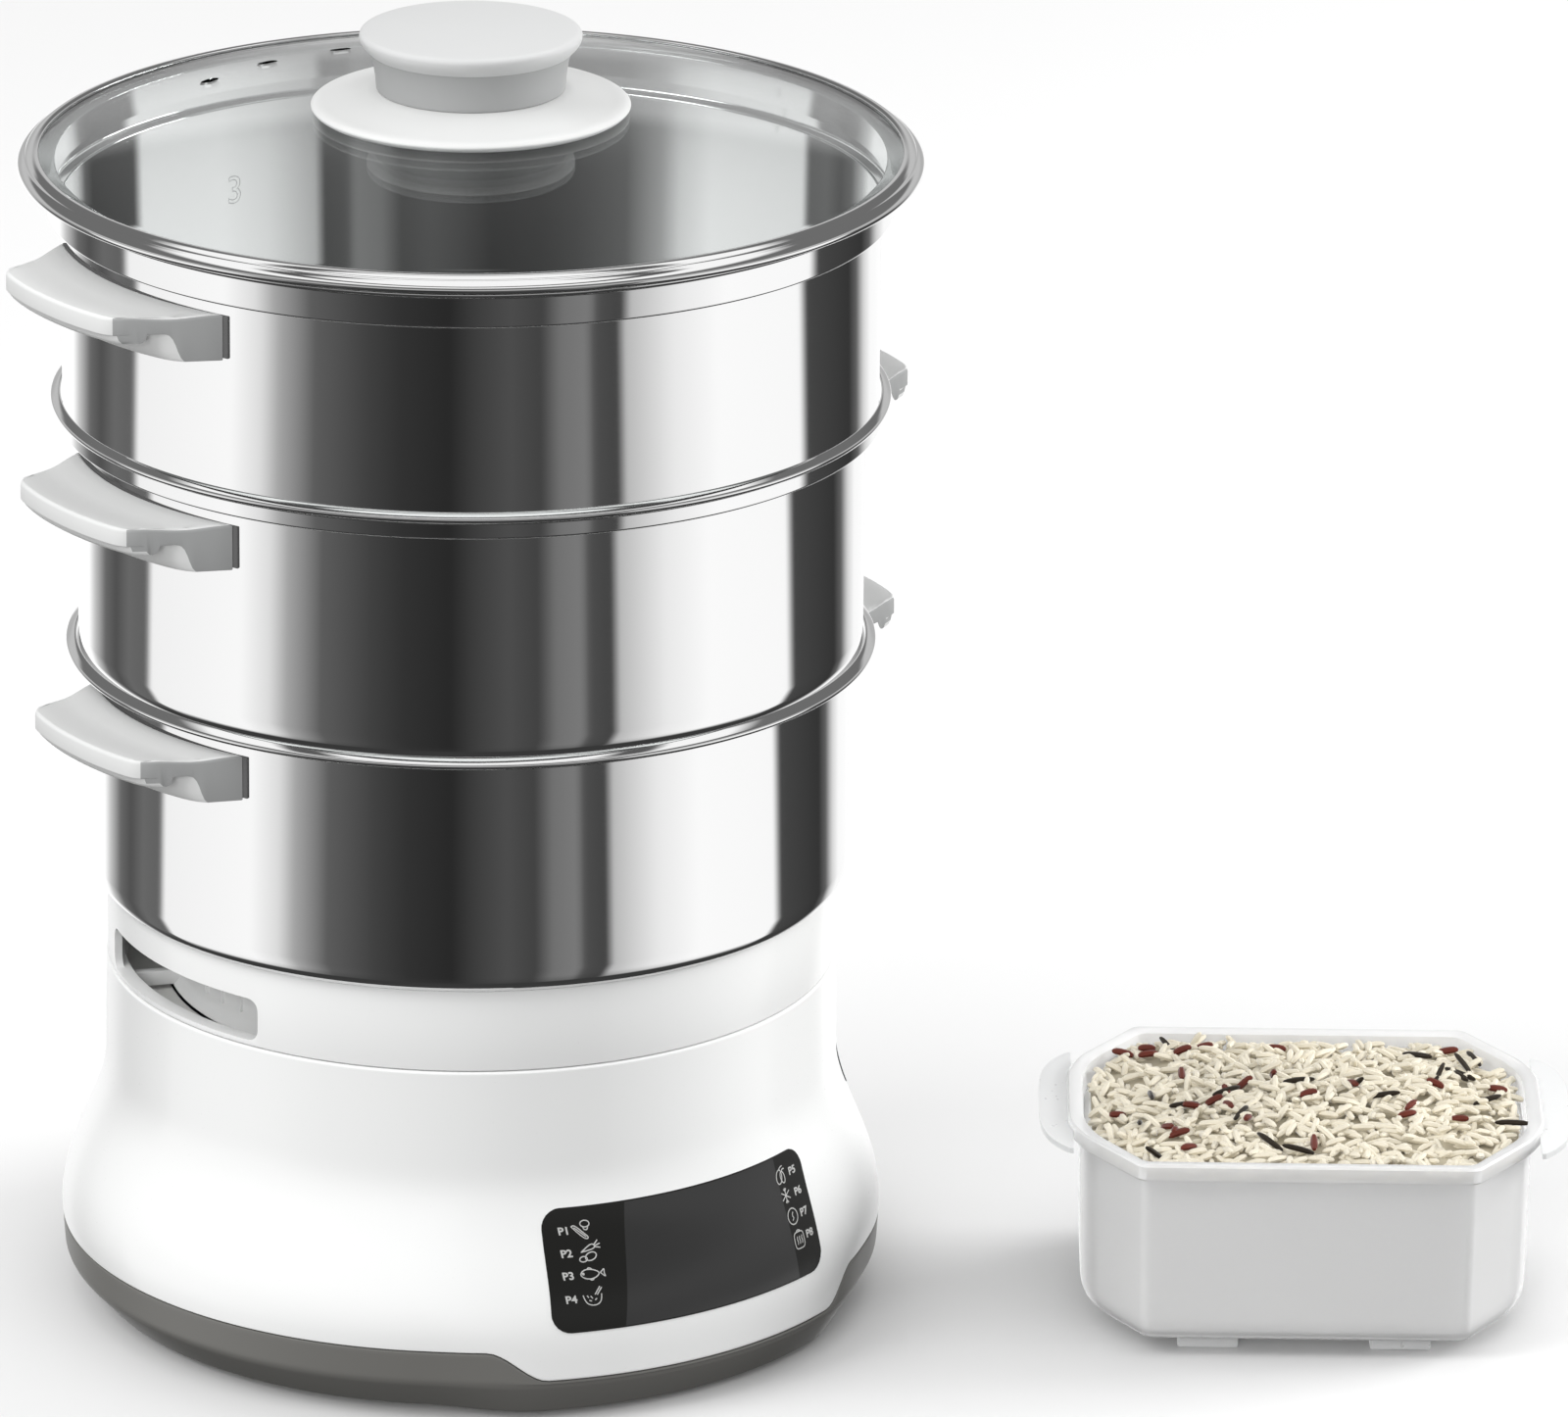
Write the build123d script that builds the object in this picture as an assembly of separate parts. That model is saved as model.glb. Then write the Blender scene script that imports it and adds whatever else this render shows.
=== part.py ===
from build123d import *
import os
from math import cos, radians, sin, sqrt

# Electric food steamer: base unit, drip tray, three stacked steel bowls, glass lid and a rice bowl.
# Millimetres. The origin is on the floor, on the steamer's vertical axis. +Z is up, -Y is the front.

BOTTOM = (Align.CENTER, Align.CENTER, Align.MIN)
FRONT_DEG = -90.0           # the front, measured from +X

# ---- round sizes that the others follow ------------------------------------------------------
BOWL_R = 112.0              # outer radius of the bottom bowl's wall
TIER_STEP_R = 4.0           # each higher bowl is wider by this
NECK_INSET = 3.3            # from the bottom bowl's wall in to the housing's top edge

# ---- base unit, outer form -------------------------------------------------------------------
BASE_TOP_Z = 104.8          # top edge of the housing
BASE_LOW_Z = 2.0            # underside of the bottom cover
NECK_R = BOWL_R - NECK_INSET
SHOULDER_Z = 74.0           # where the flare starts
SHOULDER_OUT = 0.6
SHOULDER_R = NECK_R + SHOULDER_OUT
BELLY_Z = 26.0              # widest ring
BELLY_OUT = 13.5
BELLY_R = SHOULDER_R + BELLY_OUT
CREASE_Z = 12.5             # crease of the skirt
CREASE_INSET = 0.9
CREASE_R = BELLY_R - CREASE_INSET
TOE_INSET = 9.5
TOE_R = CREASE_R - TOE_INSET    # lower edge of the skirt
BASE_WALL = 2.5

# ---- front pod -------------------------------------------------------------------------------
POD_INNER_DEG = 24.0        # the pod stands out fully up to this angle from the front
POD_OUTER_DEG = 41.0        # and has died away at this one
POD_TOE_BULGE = 6.4
POD_CREASE_BULGE = 2.8
POD_BELLY_BULGE = 1.3
POD_END_Z = 58.0            # the pod runs out here
POD_STEPS = 5               # levels from the belly to the pod's end

# ---- seam between housing and bottom cover ---------------------------------------------------
SEAM_Z = 23.0
SEAM_DIP = 9.0              # the seam dips under the panel
SEAM_POD_Z = SEAM_Z - SEAM_DIP
SEAM_DIP_IN_X = 49.0
SEAM_DIP_W = 16.0
SEAM_DIP_OUT_X = SEAM_DIP_IN_X + SEAM_DIP_W
SEAM_GAP = 0.3

# ---- control panel ---------------------------------------------------------------------------
PANEL_W = 97.0
PANEL_LOW_Z = 28.2
PANEL_H = 34.4
PANEL_HIGH_Z = PANEL_LOW_Z + PANEL_H
PANEL_CORNER_R = 6.0
PANEL_T = 1.5
PANEL_GAP = 0.2

# ---- water tank ------------------------------------------------------------------------------
TANK_INSET = 13.2           # from the housing's inner wall in to the tank's wall
TANK_R = NECK_R - BASE_WALL - TANK_INSET
TANK_WALL = 2.2
TANK_FLOOR_Z = 46.0
TANK_FLANGE_DROP = 9.3      # from the housing's top edge down to the flange
TANK_FLANGE_T = 2.5
TANK_FLANGE_GAP = 0.4
LEDGE_T = 3.0
LEDGE_GAP = 5.0             # between the tank's wall and the ledge

# ---- drip tray -------------------------------------------------------------------------------
COLLAR_INSET = 0.4
COLLAR_R = NECK_R - COLLAR_INSET
COLLAR_WALL = 2.4
COLLAR_RISE = 25.2          # from the housing's top edge to the collar's
COLLAR_TOP_Z = BASE_TOP_Z + COLLAR_RISE
TRAY_GAP = 0.3
TRAY_SPIGOT_GAP = 0.5
TRAY_SPIGOT_WALL = 2.2
SLOT_HALF_DEG = 21.0
SLOT_RISE = 2.0             # from the housing's top edge to the filler slots
SLOT_H = 12.9
SLOT_LOW_Z = BASE_TOP_Z + SLOT_RISE
SLOT_HIGH_Z = SLOT_LOW_Z + SLOT_H
SLOT_CORNER_R = 3.5
DISH_INSET = 5.0            # from the tank's wall in to the dish's
DISH_R = TANK_R - DISH_INSET
DISH_WALL = 2.0
DISH_GAP = 0.6              # between the tank's flange and the dish
DISH_H = 22.4
SPOKE_COUNT = 8
SPOKE_W = 3.0
SPOKE_H = 4.4
SPOKE_END_GAP = 0.3
SPOKE_SEAT_W = 2.4
SPOKE_SEAT_T = 1.2
SPOKE_SEAT_HALF_DEG = 2.5
RIB_W = 1.0
RIB_H = 6.0
RIB_STEP_DEG = 6.0
RIB_DROP = 0.3              # from the housing's top edge down to the ribs

# ---- heater ----------------------------------------------------------------------------------
HEATER_R = 40.0
HEATER_T = 2.0
HEATER_HOLE_R = 34.0
SEAL_T = 1.6
ELEMENT_RING_R = 27.0
ELEMENT_R = 3.3
ELEMENT_GAP_DEG = 40.0
CLAMP_R = 44.0
CLAMP_HOLE_R = 31.5
CLAMP_T = 2.0
HEATER_SCREW_COUNT = 3
HEATER_SCREW_RING_R = 37.5
HEATER_SCREW_R = 1.5
HEATER_SCREW_SKIN = 0.7     # steel left over a heater screw
THERMOSTAT_R = 9.0
THERMOSTAT_H = 8.0
FUSE_R = 2.2
FUSE_L = 12.0
FUSE_OFFSET_Y = 15.0

# ---- boards ----------------------------------------------------------------------------------
BOARD_T = 1.6
POWER_BOARD_W = 96.0
POWER_BOARD_D = 54.0
POWER_BOARD_Y = -38.0
STANDOFF_H = 6.0
STANDOFF_R = 4.0
BOARD_SCREW_R = 1.4
BOARD_SCREW_L = 5.0
BOARD_SCREW_INSET = 6.0
SCREW_HEAD_R = 2.8
SCREW_HEAD_T = 1.6
TOUCH_BOARD_W = 64.0
TOUCH_BOARD_H = 26.0
TOUCH_BOARD_INSET = 19.3    # from the belly in to the board
TOUCH_BOARD_Y = TOUCH_BOARD_INSET - BELLY_R
TOUCH_SCREW_X = 26.0
TOUCH_POST_R = 3.2
SCREW_TIP_GAP = 1.0         # a blind screw hole is deeper than its screw by this
RIBBON_W = 20.0
RIBBON_T = 1.0
RIBBON_RUN_Z = 21.0
RIBBON_HIGH_Z = 40.0
RIBBON_END_Y = -60.0
TERMINAL_SIZE = (24.0, 12.0, 12.0)
TERMINAL_SPOT = (26.0, -20.0)
RELAY_SIZE = (18.0, 15.0, 16.0)
RELAY_SPOT = (-25.0, -50.0)
TRANSFORMER_SIZE = (24.0, 20.0, 22.0)
TRANSFORMER_SPOT = (-27.0, -22.0)
LEAD_R = 1.6
LEAD_INSET_DEG = 4.0

# ---- cord gland, feet and base screws --------------------------------------------------------
GLAND_Z = 14.4
GLAND_BORE_R = 3.6
GLAND_BODY_R = 5.2
GLAND_FLANGE_R = 6.8
GLAND_L = 14.0
GLAND_FLANGE_T = 2.0
GLAND_SEAT_INSET = 3.2      # from the belly in to the gland's seat
GLAND_SEAT_Y = BELLY_R - GLAND_SEAT_INSET
GLAND_PAD_R = 9.0
GLAND_PAD_T = 5.0
GLAND_HOLE_GAP = 0.15
GLAND_CUT_OVER = 2.0        # the cuts run past the wall by this
COVER_FLOOR_T = 2.5
COVER_PAD_R = 24.0          # flat pad moulded in the middle of the underside
COVER_PAD_H = 0.8
FOOT_INSET = 24.4           # from the skirt's lower edge in to the feet
FOOT_RING_R = TOE_R - FOOT_INSET
FOOT_R = 8.0
FOOT_STEM_R = 3.0
FOOT_STEM_GAP = 0.15
FOOT_COUNT = 4
FOOT_START_DEG = 45.0
BOSS_INSET = 8.4            # from the skirt's lower edge in to the screw bosses
BOSS_RING_R = TOE_R - BOSS_INSET
BOSS_R = 5.0
BOSS_COUNT = 4
BOSS_START_DEG = 45.0
BOSS_JOIN_Z = 27.0
BOSS_HIGH_Z = 44.0
BOSS_CAP_T = 2.0
BOSS_RIB_T = 3.0
COUNTERBORE_Z = 8.0
BASE_SCREW_R = 1.8
BASE_SCREW_L = 32.0
BASE_SCREW_HEAD_R = 3.4
BASE_SCREW_HEAD_T = 1.5
SCREW_GAP = 0.15

# ---- water gauge -----------------------------------------------------------------------------
GAUGE_DEG = 66.0            # from the front towards the right-hand side
GAUGE_W = 22.0
GAUGE_LOW_Z = 56.0
GAUGE_H = 30.0
GAUGE_HIGH_Z = GAUGE_LOW_Z + GAUGE_H
GAUGE_CORNER_R = 5.0
GAUGE_GAP = 0.2
GAUGE_LIP = 2.0             # the wall reaches this far over the pane's back

# ---- steam bowls -----------------------------------------------------------------------------
SHEET = 0.8                 # steel sheet
NEST_GAP = 0.5              # radial gap between a bowl and the band that it stands in
FOOT_GAP = 0.4              # radial gap round a bowl's foot
FOOT_DEPTH = 5.0
SHOULDER_DROP = 3.6         # how far the lower corner turns in
SHOULDER_H = 7.0
HOLE_R = 2.0
HOLE_RING_STEP = 18.0
HOLE_RING_COUNT = 5
BOTTOM_WALL_R = BOWL_R
MIDDLE_WALL_R = BOTTOM_WALL_R + TIER_STEP_R
TOP_WALL_R = MIDDLE_WALL_R + TIER_STEP_R
TOP_BAND_OUT = 4.0          # the top bowl's band stands out from its wall
BOTTOM_BAND_R = MIDDLE_WALL_R + NEST_GAP + SHEET
MIDDLE_BAND_R = TOP_WALL_R + NEST_GAP + SHEET
TOP_BAND_R = TOP_WALL_R + TOP_BAND_OUT
BOTTOM_LIP_OUT = 2.7        # each lip stands out from its band
MIDDLE_LIP_OUT = 2.4
TOP_LIP_OUT = 3.2
TOP_LIP_R = TOP_BAND_R + TOP_LIP_OUT
BOTTOM_RISE = 71.6          # from a bowl's seat to its band
MIDDLE_RISE = 69.3
TOP_RISE = 62.9
BOTTOM_BAND_H = 3.1
MIDDLE_BAND_H = 8.1
TOP_BAND_H = 12.0
BOTTOM_BAND_LOW_Z = COLLAR_TOP_Z + BOTTOM_RISE
BOTTOM_LIP_TOP_Z = BOTTOM_BAND_LOW_Z + BOTTOM_BAND_H
MIDDLE_SEAT_Z = BOTTOM_BAND_LOW_Z + SHEET
MIDDLE_BAND_LOW_Z = MIDDLE_SEAT_Z + MIDDLE_RISE
MIDDLE_LIP_TOP_Z = MIDDLE_BAND_LOW_Z + MIDDLE_BAND_H
TOP_SEAT_Z = MIDDLE_BAND_LOW_Z + SHEET
TOP_BAND_LOW_Z = TOP_SEAT_Z + TOP_RISE
TOP_LIP_TOP_Z = TOP_BAND_LOW_Z + TOP_BAND_H
LIP_DROP = 2.6              # height of the turned-down edge
LIP_EDGE_CUT = 0.5
LIP_ROLL_W = 2.2

# ---- handles ---------------------------------------------------------------------------------
HANDLE_REACH = 27.0         # from the wall to the crown of the outer edge
HANDLE_CORNER_REACH = 22.5
HANDLE_CORNER_Y = 31.0
HANDLE_END_DEG = 20.6
HANDLE_H = 14.0
SHELF_T = 5.5
APRON_T = 11.0
GRIP_RIB_REACH = 18.0
GRIP_RIB_R = 3.2
GRIP_RIB_HALF_DEG = 12.0
HANDLE_EDGE_R = 1.8
HANDLE_CORNER_R = 8.0
BRACKET_T = 1.2
BRACKET_GAP = 0.3           # between the wall and the bracket
HANDLE_GAP = 0.2            # between the bracket and the handle
BRACKET_INSET = 1.2
BRACKET_END_DEG = 19.6
BOTTOM_HANDLE_DROP = 4.6    # from the bowl's band down to the handle's top
MIDDLE_HANDLE_DROP = 3.5
TOP_HANDLE_DROP = 3.2
RIVET_R = 2.0
RIVET_GAP = 0.1
RIVET_HEAD_R = 4.0
RIVET_HEAD_T = 1.2
RIVET_HEAD_GAP = 0.1
RIVET_DEG = 9.0
RIVET_L = 8.0
RIVET_DROP = 8.5            # from the handle's top

# ---- lid -------------------------------------------------------------------------------------
LID_RIM_OUT = 5.6           # the rim stands out from the top bowl's lip
LID_RIM_R = TOP_LIP_R + LID_RIM_OUT
LID_SKIRT_GAP = 0.6
LID_SKIRT_H = 7.0
LID_SKIRT_LOW_Z = TOP_LIP_TOP_Z - LID_SKIRT_H
LID_RIM_EDGE_T = 3.0
LID_RIM_EDGE_CUT = 1.4
LID_RIM_RISE = 2.4          # the ring slopes up towards the glass
RIM_UNDER_H = 3.2           # ledge under the glass
LID_RIM_INSET = 1.0
LID_RIM_INNER_R = TOP_LIP_R - LID_RIM_INSET
LID_RIM_EASE = 0.6              # width of the eased inner edge
LID_RIM_EASE_H = 0.4
LID_LEDGE_BURY = 0.5            # the ledge under the glass runs into the rim by this
GLASS_OVERLAP = 1.8         # the glass reaches under the rim by this
GLASS_R = LID_RIM_INNER_R + GLASS_OVERLAP
GLASS_T = 3.4
GLASS_EDGE_H = 4.2          # from the rim's seat up to the glass's upper edge
GLASS_SPHERE_R = 600.0
GLASS_RISE = GLASS_SPHERE_R - sqrt(GLASS_SPHERE_R ** 2 - GLASS_R ** 2)
GLASS_CROWN_Z = TOP_LIP_TOP_Z + GLASS_EDGE_H + GLASS_RISE
GLASS_GAP = 0.2             # between the glass and what touches it
VENT_R = 92.0
VENT_L = 6.4
VENT_W = 3.8
VENT_STEP_DEG = 16.0
VENT_CENTRE_DEG = 97.0      # from +X, at the back
KNOB_HOLE_R = 4.0
FLANGE_R = 46.9
FLANGE_EDGE_RISE = 0.2      # from the glass's crown
FLANGE_EDGE_Z = GLASS_CROWN_Z + FLANGE_EDGE_RISE
FLANGE_EDGE_T = 1.6
FLANGE_EDGE_CUT = 0.6           # depth of the rounded edge
FLANGE_LAP = 3.0                # width of the thin edge
FLANGE_H = 5.0
FLANGE_SWEEP_W = 6.0            # the hollow sweep up to the knob's neck
FLANGE_SWEEP_DROP = 1.8
NECK_LOW_Z = FLANGE_EDGE_Z + FLANGE_H
NECK_LOW_R = 27.6
NECK_FLARE = 2.0
KNOB_NECK_R = NECK_LOW_R + NECK_FLARE
KNOB_NECK_H = 13.0
KNOB_NECK_TOP_Z = NECK_LOW_Z + KNOB_NECK_H
KNOB_OUT = 3.0
KNOB_R = KNOB_NECK_R + KNOB_OUT
KNOB_EDGE_T = 4.4
KNOB_CROWN_H = 1.6
KNOB_EDGE_R = 1.8
KNOB_UNDER_CUT = 1.4            # the underside's round reaches in by this
KNOB_SIDE_DROP = 2.0            # from the crown's edge down to the widest place
KNOB_EASE = 0.5                 # middle of the round between the side and the crown
KNOB_EASE_H = 0.6
KNOB_WALL = 4.0
KNOB_CORE_R = 9.0
KNOB_TOP_T = 2.0
KNOB_SCREW_R = 2.5
KNOB_SCREW_L = 18.0
KNOB_SCREW_HEAD_R = 6.0
KNOB_SCREW_HEAD_T = 2.4
KNOB_SEAL_R = 11.0
KNOB_SEAL_T = 1.5

# ---- rice bowl -------------------------------------------------------------------------------
RICE_DISTANCE = 249.0       # from the steamer's axis, along the bowl's own long axis
RICE_FORWARD = 9.8          # towards the viewer's side of that line
RICE_TURN_DEG = -36.0
RICE_L = 135.0              # body, corner to corner along the length
RICE_W = 111.0
RICE_CHAMFER_X = 19.0
RICE_CHAMFER_Y = 29.0
RICE_CORNER_R = 36.0
RICE_H = 63.0
RICE_WALL = 1.6
RICE_DRAFT = 1.5            # how far each wall leans in at the foot
RICE_RIM_W = 3.0
RICE_RIM_H = 5.0
RICE_RIM_T = 1.6
RICE_RIM_LIP = 1.6          # thickness of the rim's hanging edge
RICE_TAB_REACH = 11.5
RICE_TAB_HALF_W = 40.0
RICE_TAB_TIP_HALF_W = 20.0
RICE_TAB_CORNER = 6.0
RICE_TAB_ROOT = 8.0         # the tab starts this far inside the wall
RICE_TAB_T = 1.8
RICE_FOOT_H = 5.0
RICE_FOOT_X = 28.5
RICE_FOOT_L = 18.0
RICE_FOOT_W = 8.0
RICE_FOOT_Y = 41.0
RICE_EDGE_R = 8.0


# ---- small helpers ---------------------------------------------------------------------------
def ring(outer_r, inner_r, low_z, high_z):
    """A flat ring between two heights."""
    body = Pos(0, 0, low_z) * Cylinder(outer_r, high_z - low_z, align=BOTTOM)
    if inner_r > 0:
        body -= Pos(0, 0, low_z) * Cylinder(inner_r, high_z - low_z, align=BOTTOM)
    return body


def disc(radius, low_z, high_z):
    """A plain disc between two heights."""
    return Pos(0, 0, low_z) * Cylinder(radius, high_z - low_z, align=BOTTOM)


def revolved(points):
    """A body turned from a closed outline of (radius, height) points."""
    outline = Polyline(*[(r, 0, z) for r, z in points], close=True)
    return revolve(make_face(outline), Axis.Z)


def around(shape, count, start_deg):
    """Copies of a shape, evenly turned about the steamer's axis."""
    step = 360.0 / count
    return [Rot(0, 0, start_deg + i * step) * shape for i in range(count)]


def sector(outer_r, inner_r, low_z, high_z, centre_deg, half_deg):
    """A piece of a ring, centred on one direction."""
    outline = Polyline((inner_r, 0, low_z), (outer_r, 0, low_z), (outer_r, 0, high_z),
                       (inner_r, 0, high_z), close=True)
    piece = revolve(make_face(outline), Axis.Z, revolution_arc=2 * half_deg)
    return Rot(0, 0, centre_deg - half_deg) * piece


# ---- base form -------------------------------------------------------------------------------
def polar(radius, deg, z):
    """A point at a radius, an angle from +X and a height."""
    return (radius * cos(radians(deg)), radius * sin(radians(deg)), z)


def base_section(z, round_r, bulge):
    """One level of the base form: a circle with the pod's bulge at the front."""
    out_l, in_l = FRONT_DEG - POD_OUTER_DEG, FRONT_DEG - POD_INNER_DEG
    in_r, out_r = FRONT_DEG + POD_INNER_DEG, FRONT_DEG + POD_OUTER_DEG
    pod_r = round_r + bulge
    if bulge == 0:
        left = ThreePointArc(polar(round_r, out_l, z), polar(round_r, (out_l + in_l) / 2, z),
                             polar(round_r, in_l, z))
        right = ThreePointArc(polar(round_r, in_r, z), polar(round_r, (in_r + out_r) / 2, z),
                              polar(round_r, out_r, z))
    else:
        left = Spline(polar(round_r, out_l, z), polar(pod_r, in_l, z),
                      tangents=[polar(1, out_l + 90, 0), polar(1, in_l + 90, 0)])
        right = Spline(polar(pod_r, in_r, z), polar(round_r, out_r, z),
                       tangents=[polar(1, in_r + 90, 0), polar(1, out_r + 90, 0)])
    front = ThreePointArc(polar(pod_r, in_l, z), polar(pod_r, FRONT_DEG, z),
                          polar(pod_r, in_r, z))
    back = ThreePointArc(polar(round_r, out_r, z), polar(round_r, FRONT_DEG + 180, z),
                         polar(round_r, out_l, z))
    return make_face(Curve() + [left, front, right, back])


def flare_radius(z):
    """Outer radius of the round body between the belly and the neck."""
    t = (z - BELLY_Z) / (SHOULDER_Z - BELLY_Z)
    ease = t * t * (3 - 2 * t)
    return BELLY_R + (SHOULDER_R - BELLY_R) * ease


def pod_bulge(z):
    """How far the pod stands out above the crease."""
    if z <= BELLY_Z:
        share = (z - CREASE_Z) / (BELLY_Z - CREASE_Z)
        return POD_CREASE_BULGE + (POD_BELLY_BULGE - POD_CREASE_BULGE) * share
    share = max(0.0, (POD_END_Z - z) / (POD_END_Z - BELLY_Z))
    return POD_BELLY_BULGE * share * share


def base_form(inset, over):
    """The base's outer form with every wall moved in, run past its open ends by a margin."""
    toe_slope = (CREASE_R - TOE_R) / (CREASE_Z - BASE_LOW_Z)
    toe = base_section(BASE_LOW_Z - over, TOE_R - over * toe_slope - inset, POD_TOE_BULGE)
    crease = base_section(CREASE_Z, CREASE_R - inset, POD_CREASE_BULGE)
    skirt = loft([toe, crease], ruled=True)
    sections = []
    pod_step = (POD_END_Z - BELLY_Z) / POD_STEPS
    for z in [CREASE_Z] + [BELLY_Z + i * pod_step for i in range(POD_STEPS + 1)]:
        if z <= BELLY_Z:
            round_r = CREASE_R + (BELLY_R - CREASE_R) * (z - CREASE_Z) / (BELLY_Z - CREASE_Z)
        else:
            round_r = flare_radius(z)
        sections.append(base_section(z, round_r - inset, pod_bulge(z)))
    flare = loft(sections, ruled=True)
    steps = [POD_END_Z, (2 * POD_END_Z + SHOULDER_Z) / 3, (POD_END_Z + 2 * SHOULDER_Z) / 3]
    upper = [(flare_radius(z) - inset, z) for z in steps]
    neck = revolved([(0, POD_END_Z)] + upper + [
        (SHOULDER_R - inset, SHOULDER_Z), (NECK_R - inset, BASE_TOP_Z + over),
        (0, BASE_TOP_Z + over)])
    return skirt + flare + neck


def below_seam(drop):
    """Everything under the wavy seam, lowered by a small drop."""
    far = BELLY_R * 1.3
    low = -1.0
    high = SEAM_Z - drop
    dip = SEAM_POD_Z - drop
    left = Spline((-SEAM_DIP_OUT_X, 0, high), (-SEAM_DIP_IN_X, 0, dip),
                  tangents=[(1, 0, 0), (1, 0, 0)])
    right = Spline((SEAM_DIP_IN_X, 0, dip), (SEAM_DIP_OUT_X, 0, high),
                   tangents=[(1, 0, 0), (1, 0, 0)])
    edges = [Line((-far, 0, high), (-SEAM_DIP_OUT_X, 0, high)), left,
             Line((-SEAM_DIP_IN_X, 0, dip), (SEAM_DIP_IN_X, 0, dip)), right,
             Line((SEAM_DIP_OUT_X, 0, high), (far, 0, high)),
             Line((far, 0, high), (far, 0, low)), Line((far, 0, low), (-far, 0, low)),
             Line((-far, 0, low), (-far, 0, high))]
    front = extrude(make_face(Curve() + edges), amount=far, dir=(0, -1, 0))
    back = Pos(0, 0, low) * Box(2 * far, far, high - low,
                                align=(Align.CENTER, Align.MIN, Align.MIN))
    return front + back


def front_window(width, low_z, high_z, corner_r):
    """A rounded rectangle seen from the front, pushed through the front wall."""
    outline = RectangleRounded(width, high_z - low_z, corner_r)
    plane = Plane(origin=(0, 0, (low_z + high_z) / 2), x_dir=(1, 0, 0), z_dir=(0, -1, 0))
    return extrude(plane * outline, amount=BELLY_R * 1.2)


def side_window(width, low_z, high_z, corner_r, deg, near, far):
    """A rounded rectangle seen from one side, between two distances from the axis."""
    outline = RectangleRounded(width, high_z - low_z, corner_r)
    plane = Plane(origin=(near, 0, (low_z + high_z) / 2), x_dir=(0, 1, 0), z_dir=(1, 0, 0))
    return Rot(0, 0, deg) * extrude(plane * outline, amount=far - near)


def box_on(size, spot, low_z):
    """A block that stands on a level at a place."""
    return Pos(spot[0], spot[1], low_z) * Box(*size, align=BOTTOM)


form = base_form(0, 0)
cavity = base_form(BASE_WALL, 1)
skin_back = base_form(PANEL_T, 1)

cover_floor_z = BASE_LOW_Z + COVER_FLOOR_T
neck_inner_r = NECK_R - BASE_WALL
tank_flange_low_z = BASE_TOP_Z - TANK_FLANGE_DROP
tank_top_z = tank_flange_low_z + TANK_FLANGE_T
board_low_z = cover_floor_z + STANDOFF_H
board_top_z = board_low_z + BOARD_T
touch_back_y = TOUCH_BOARD_Y + BOARD_T / 2
touch_front_y = TOUCH_BOARD_Y - BOARD_T / 2
panel_mid_z = (PANEL_LOW_Z + PANEL_HIGH_Z) / 2
gauge_deg = FRONT_DEG + GAUGE_DEG
screw_bore_r = BASE_SCREW_R + SCREW_GAP
gland_hole_r = GLAND_BODY_R + GLAND_HOLE_GAP
board_screw_spots = [(sx * (POWER_BOARD_W / 2 - BOARD_SCREW_INSET),
                      POWER_BOARD_Y + sy * (POWER_BOARD_D / 2 - BOARD_SCREW_INSET))
                     for sx in (-1, 1) for sy in (-1, 1)]


def along_y(radius, low_y, high_y, x, z):
    """A round bar that runs from front to back."""
    bar = Cylinder(radius, high_y - low_y, align=BOTTOM)
    return Pos(x, low_y, z) * (Rot(-90, 0, 0) * bar)


# ---- base unit -------------------------------------------------------------------------------
def make_housing():
    body = form - below_seam(0) - cavity
    ledge = ring(NECK_R, TANK_R + LEDGE_GAP, tank_flange_low_z - LEDGE_T, tank_flange_low_z)
    body += ledge & cavity
    for spot in around(Pos(BOSS_RING_R, 0, 0), BOSS_COUNT, BOSS_START_DEG):
        post = spot * disc(BOSS_R, BOSS_JOIN_Z, BOSS_HIGH_Z)
        rib_l = BELLY_R - BOSS_RING_R
        rib = spot * (Pos(rib_l / 2, 0, BOSS_JOIN_Z)
                      * Box(rib_l, BOSS_RIB_T, BOSS_HIGH_Z - BOSS_JOIN_Z, align=BOTTOM))
        body += (post + rib) & cavity
        body -= spot * disc(screw_bore_r, BOSS_JOIN_Z, BOSS_HIGH_Z - BOSS_CAP_T)
    for side in (-1, 1):
        x = side * TOUCH_SCREW_X
        post = along_y(TOUCH_POST_R, -BELLY_R, touch_front_y, x, panel_mid_z)
        body += post & cavity
        body -= along_y(BOARD_SCREW_R + SCREW_GAP, touch_front_y - BOARD_SCREW_L - SCREW_TIP_GAP,
                        touch_front_y, x, panel_mid_z)
    recess = front_window(PANEL_W + 2 * PANEL_GAP, PANEL_LOW_Z - PANEL_GAP,
                          PANEL_HIGH_Z + PANEL_GAP, PANEL_CORNER_R)
    body -= recess - skin_back
    pane = side_window(GAUGE_W + 2 * GAUGE_GAP, GAUGE_LOW_Z - GAUGE_GAP,
                       GAUGE_HIGH_Z + GAUGE_GAP, GAUGE_CORNER_R, gauge_deg, TANK_R, BELLY_R)
    body -= pane - skin_back
    sight = side_window(GAUGE_W - 2 * GAUGE_LIP, GAUGE_LOW_Z + GAUGE_LIP, GAUGE_HIGH_Z - GAUGE_LIP,
                        GAUGE_CORNER_R - GAUGE_LIP, gauge_deg, TANK_R, BELLY_R)
    return body - sight


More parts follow.
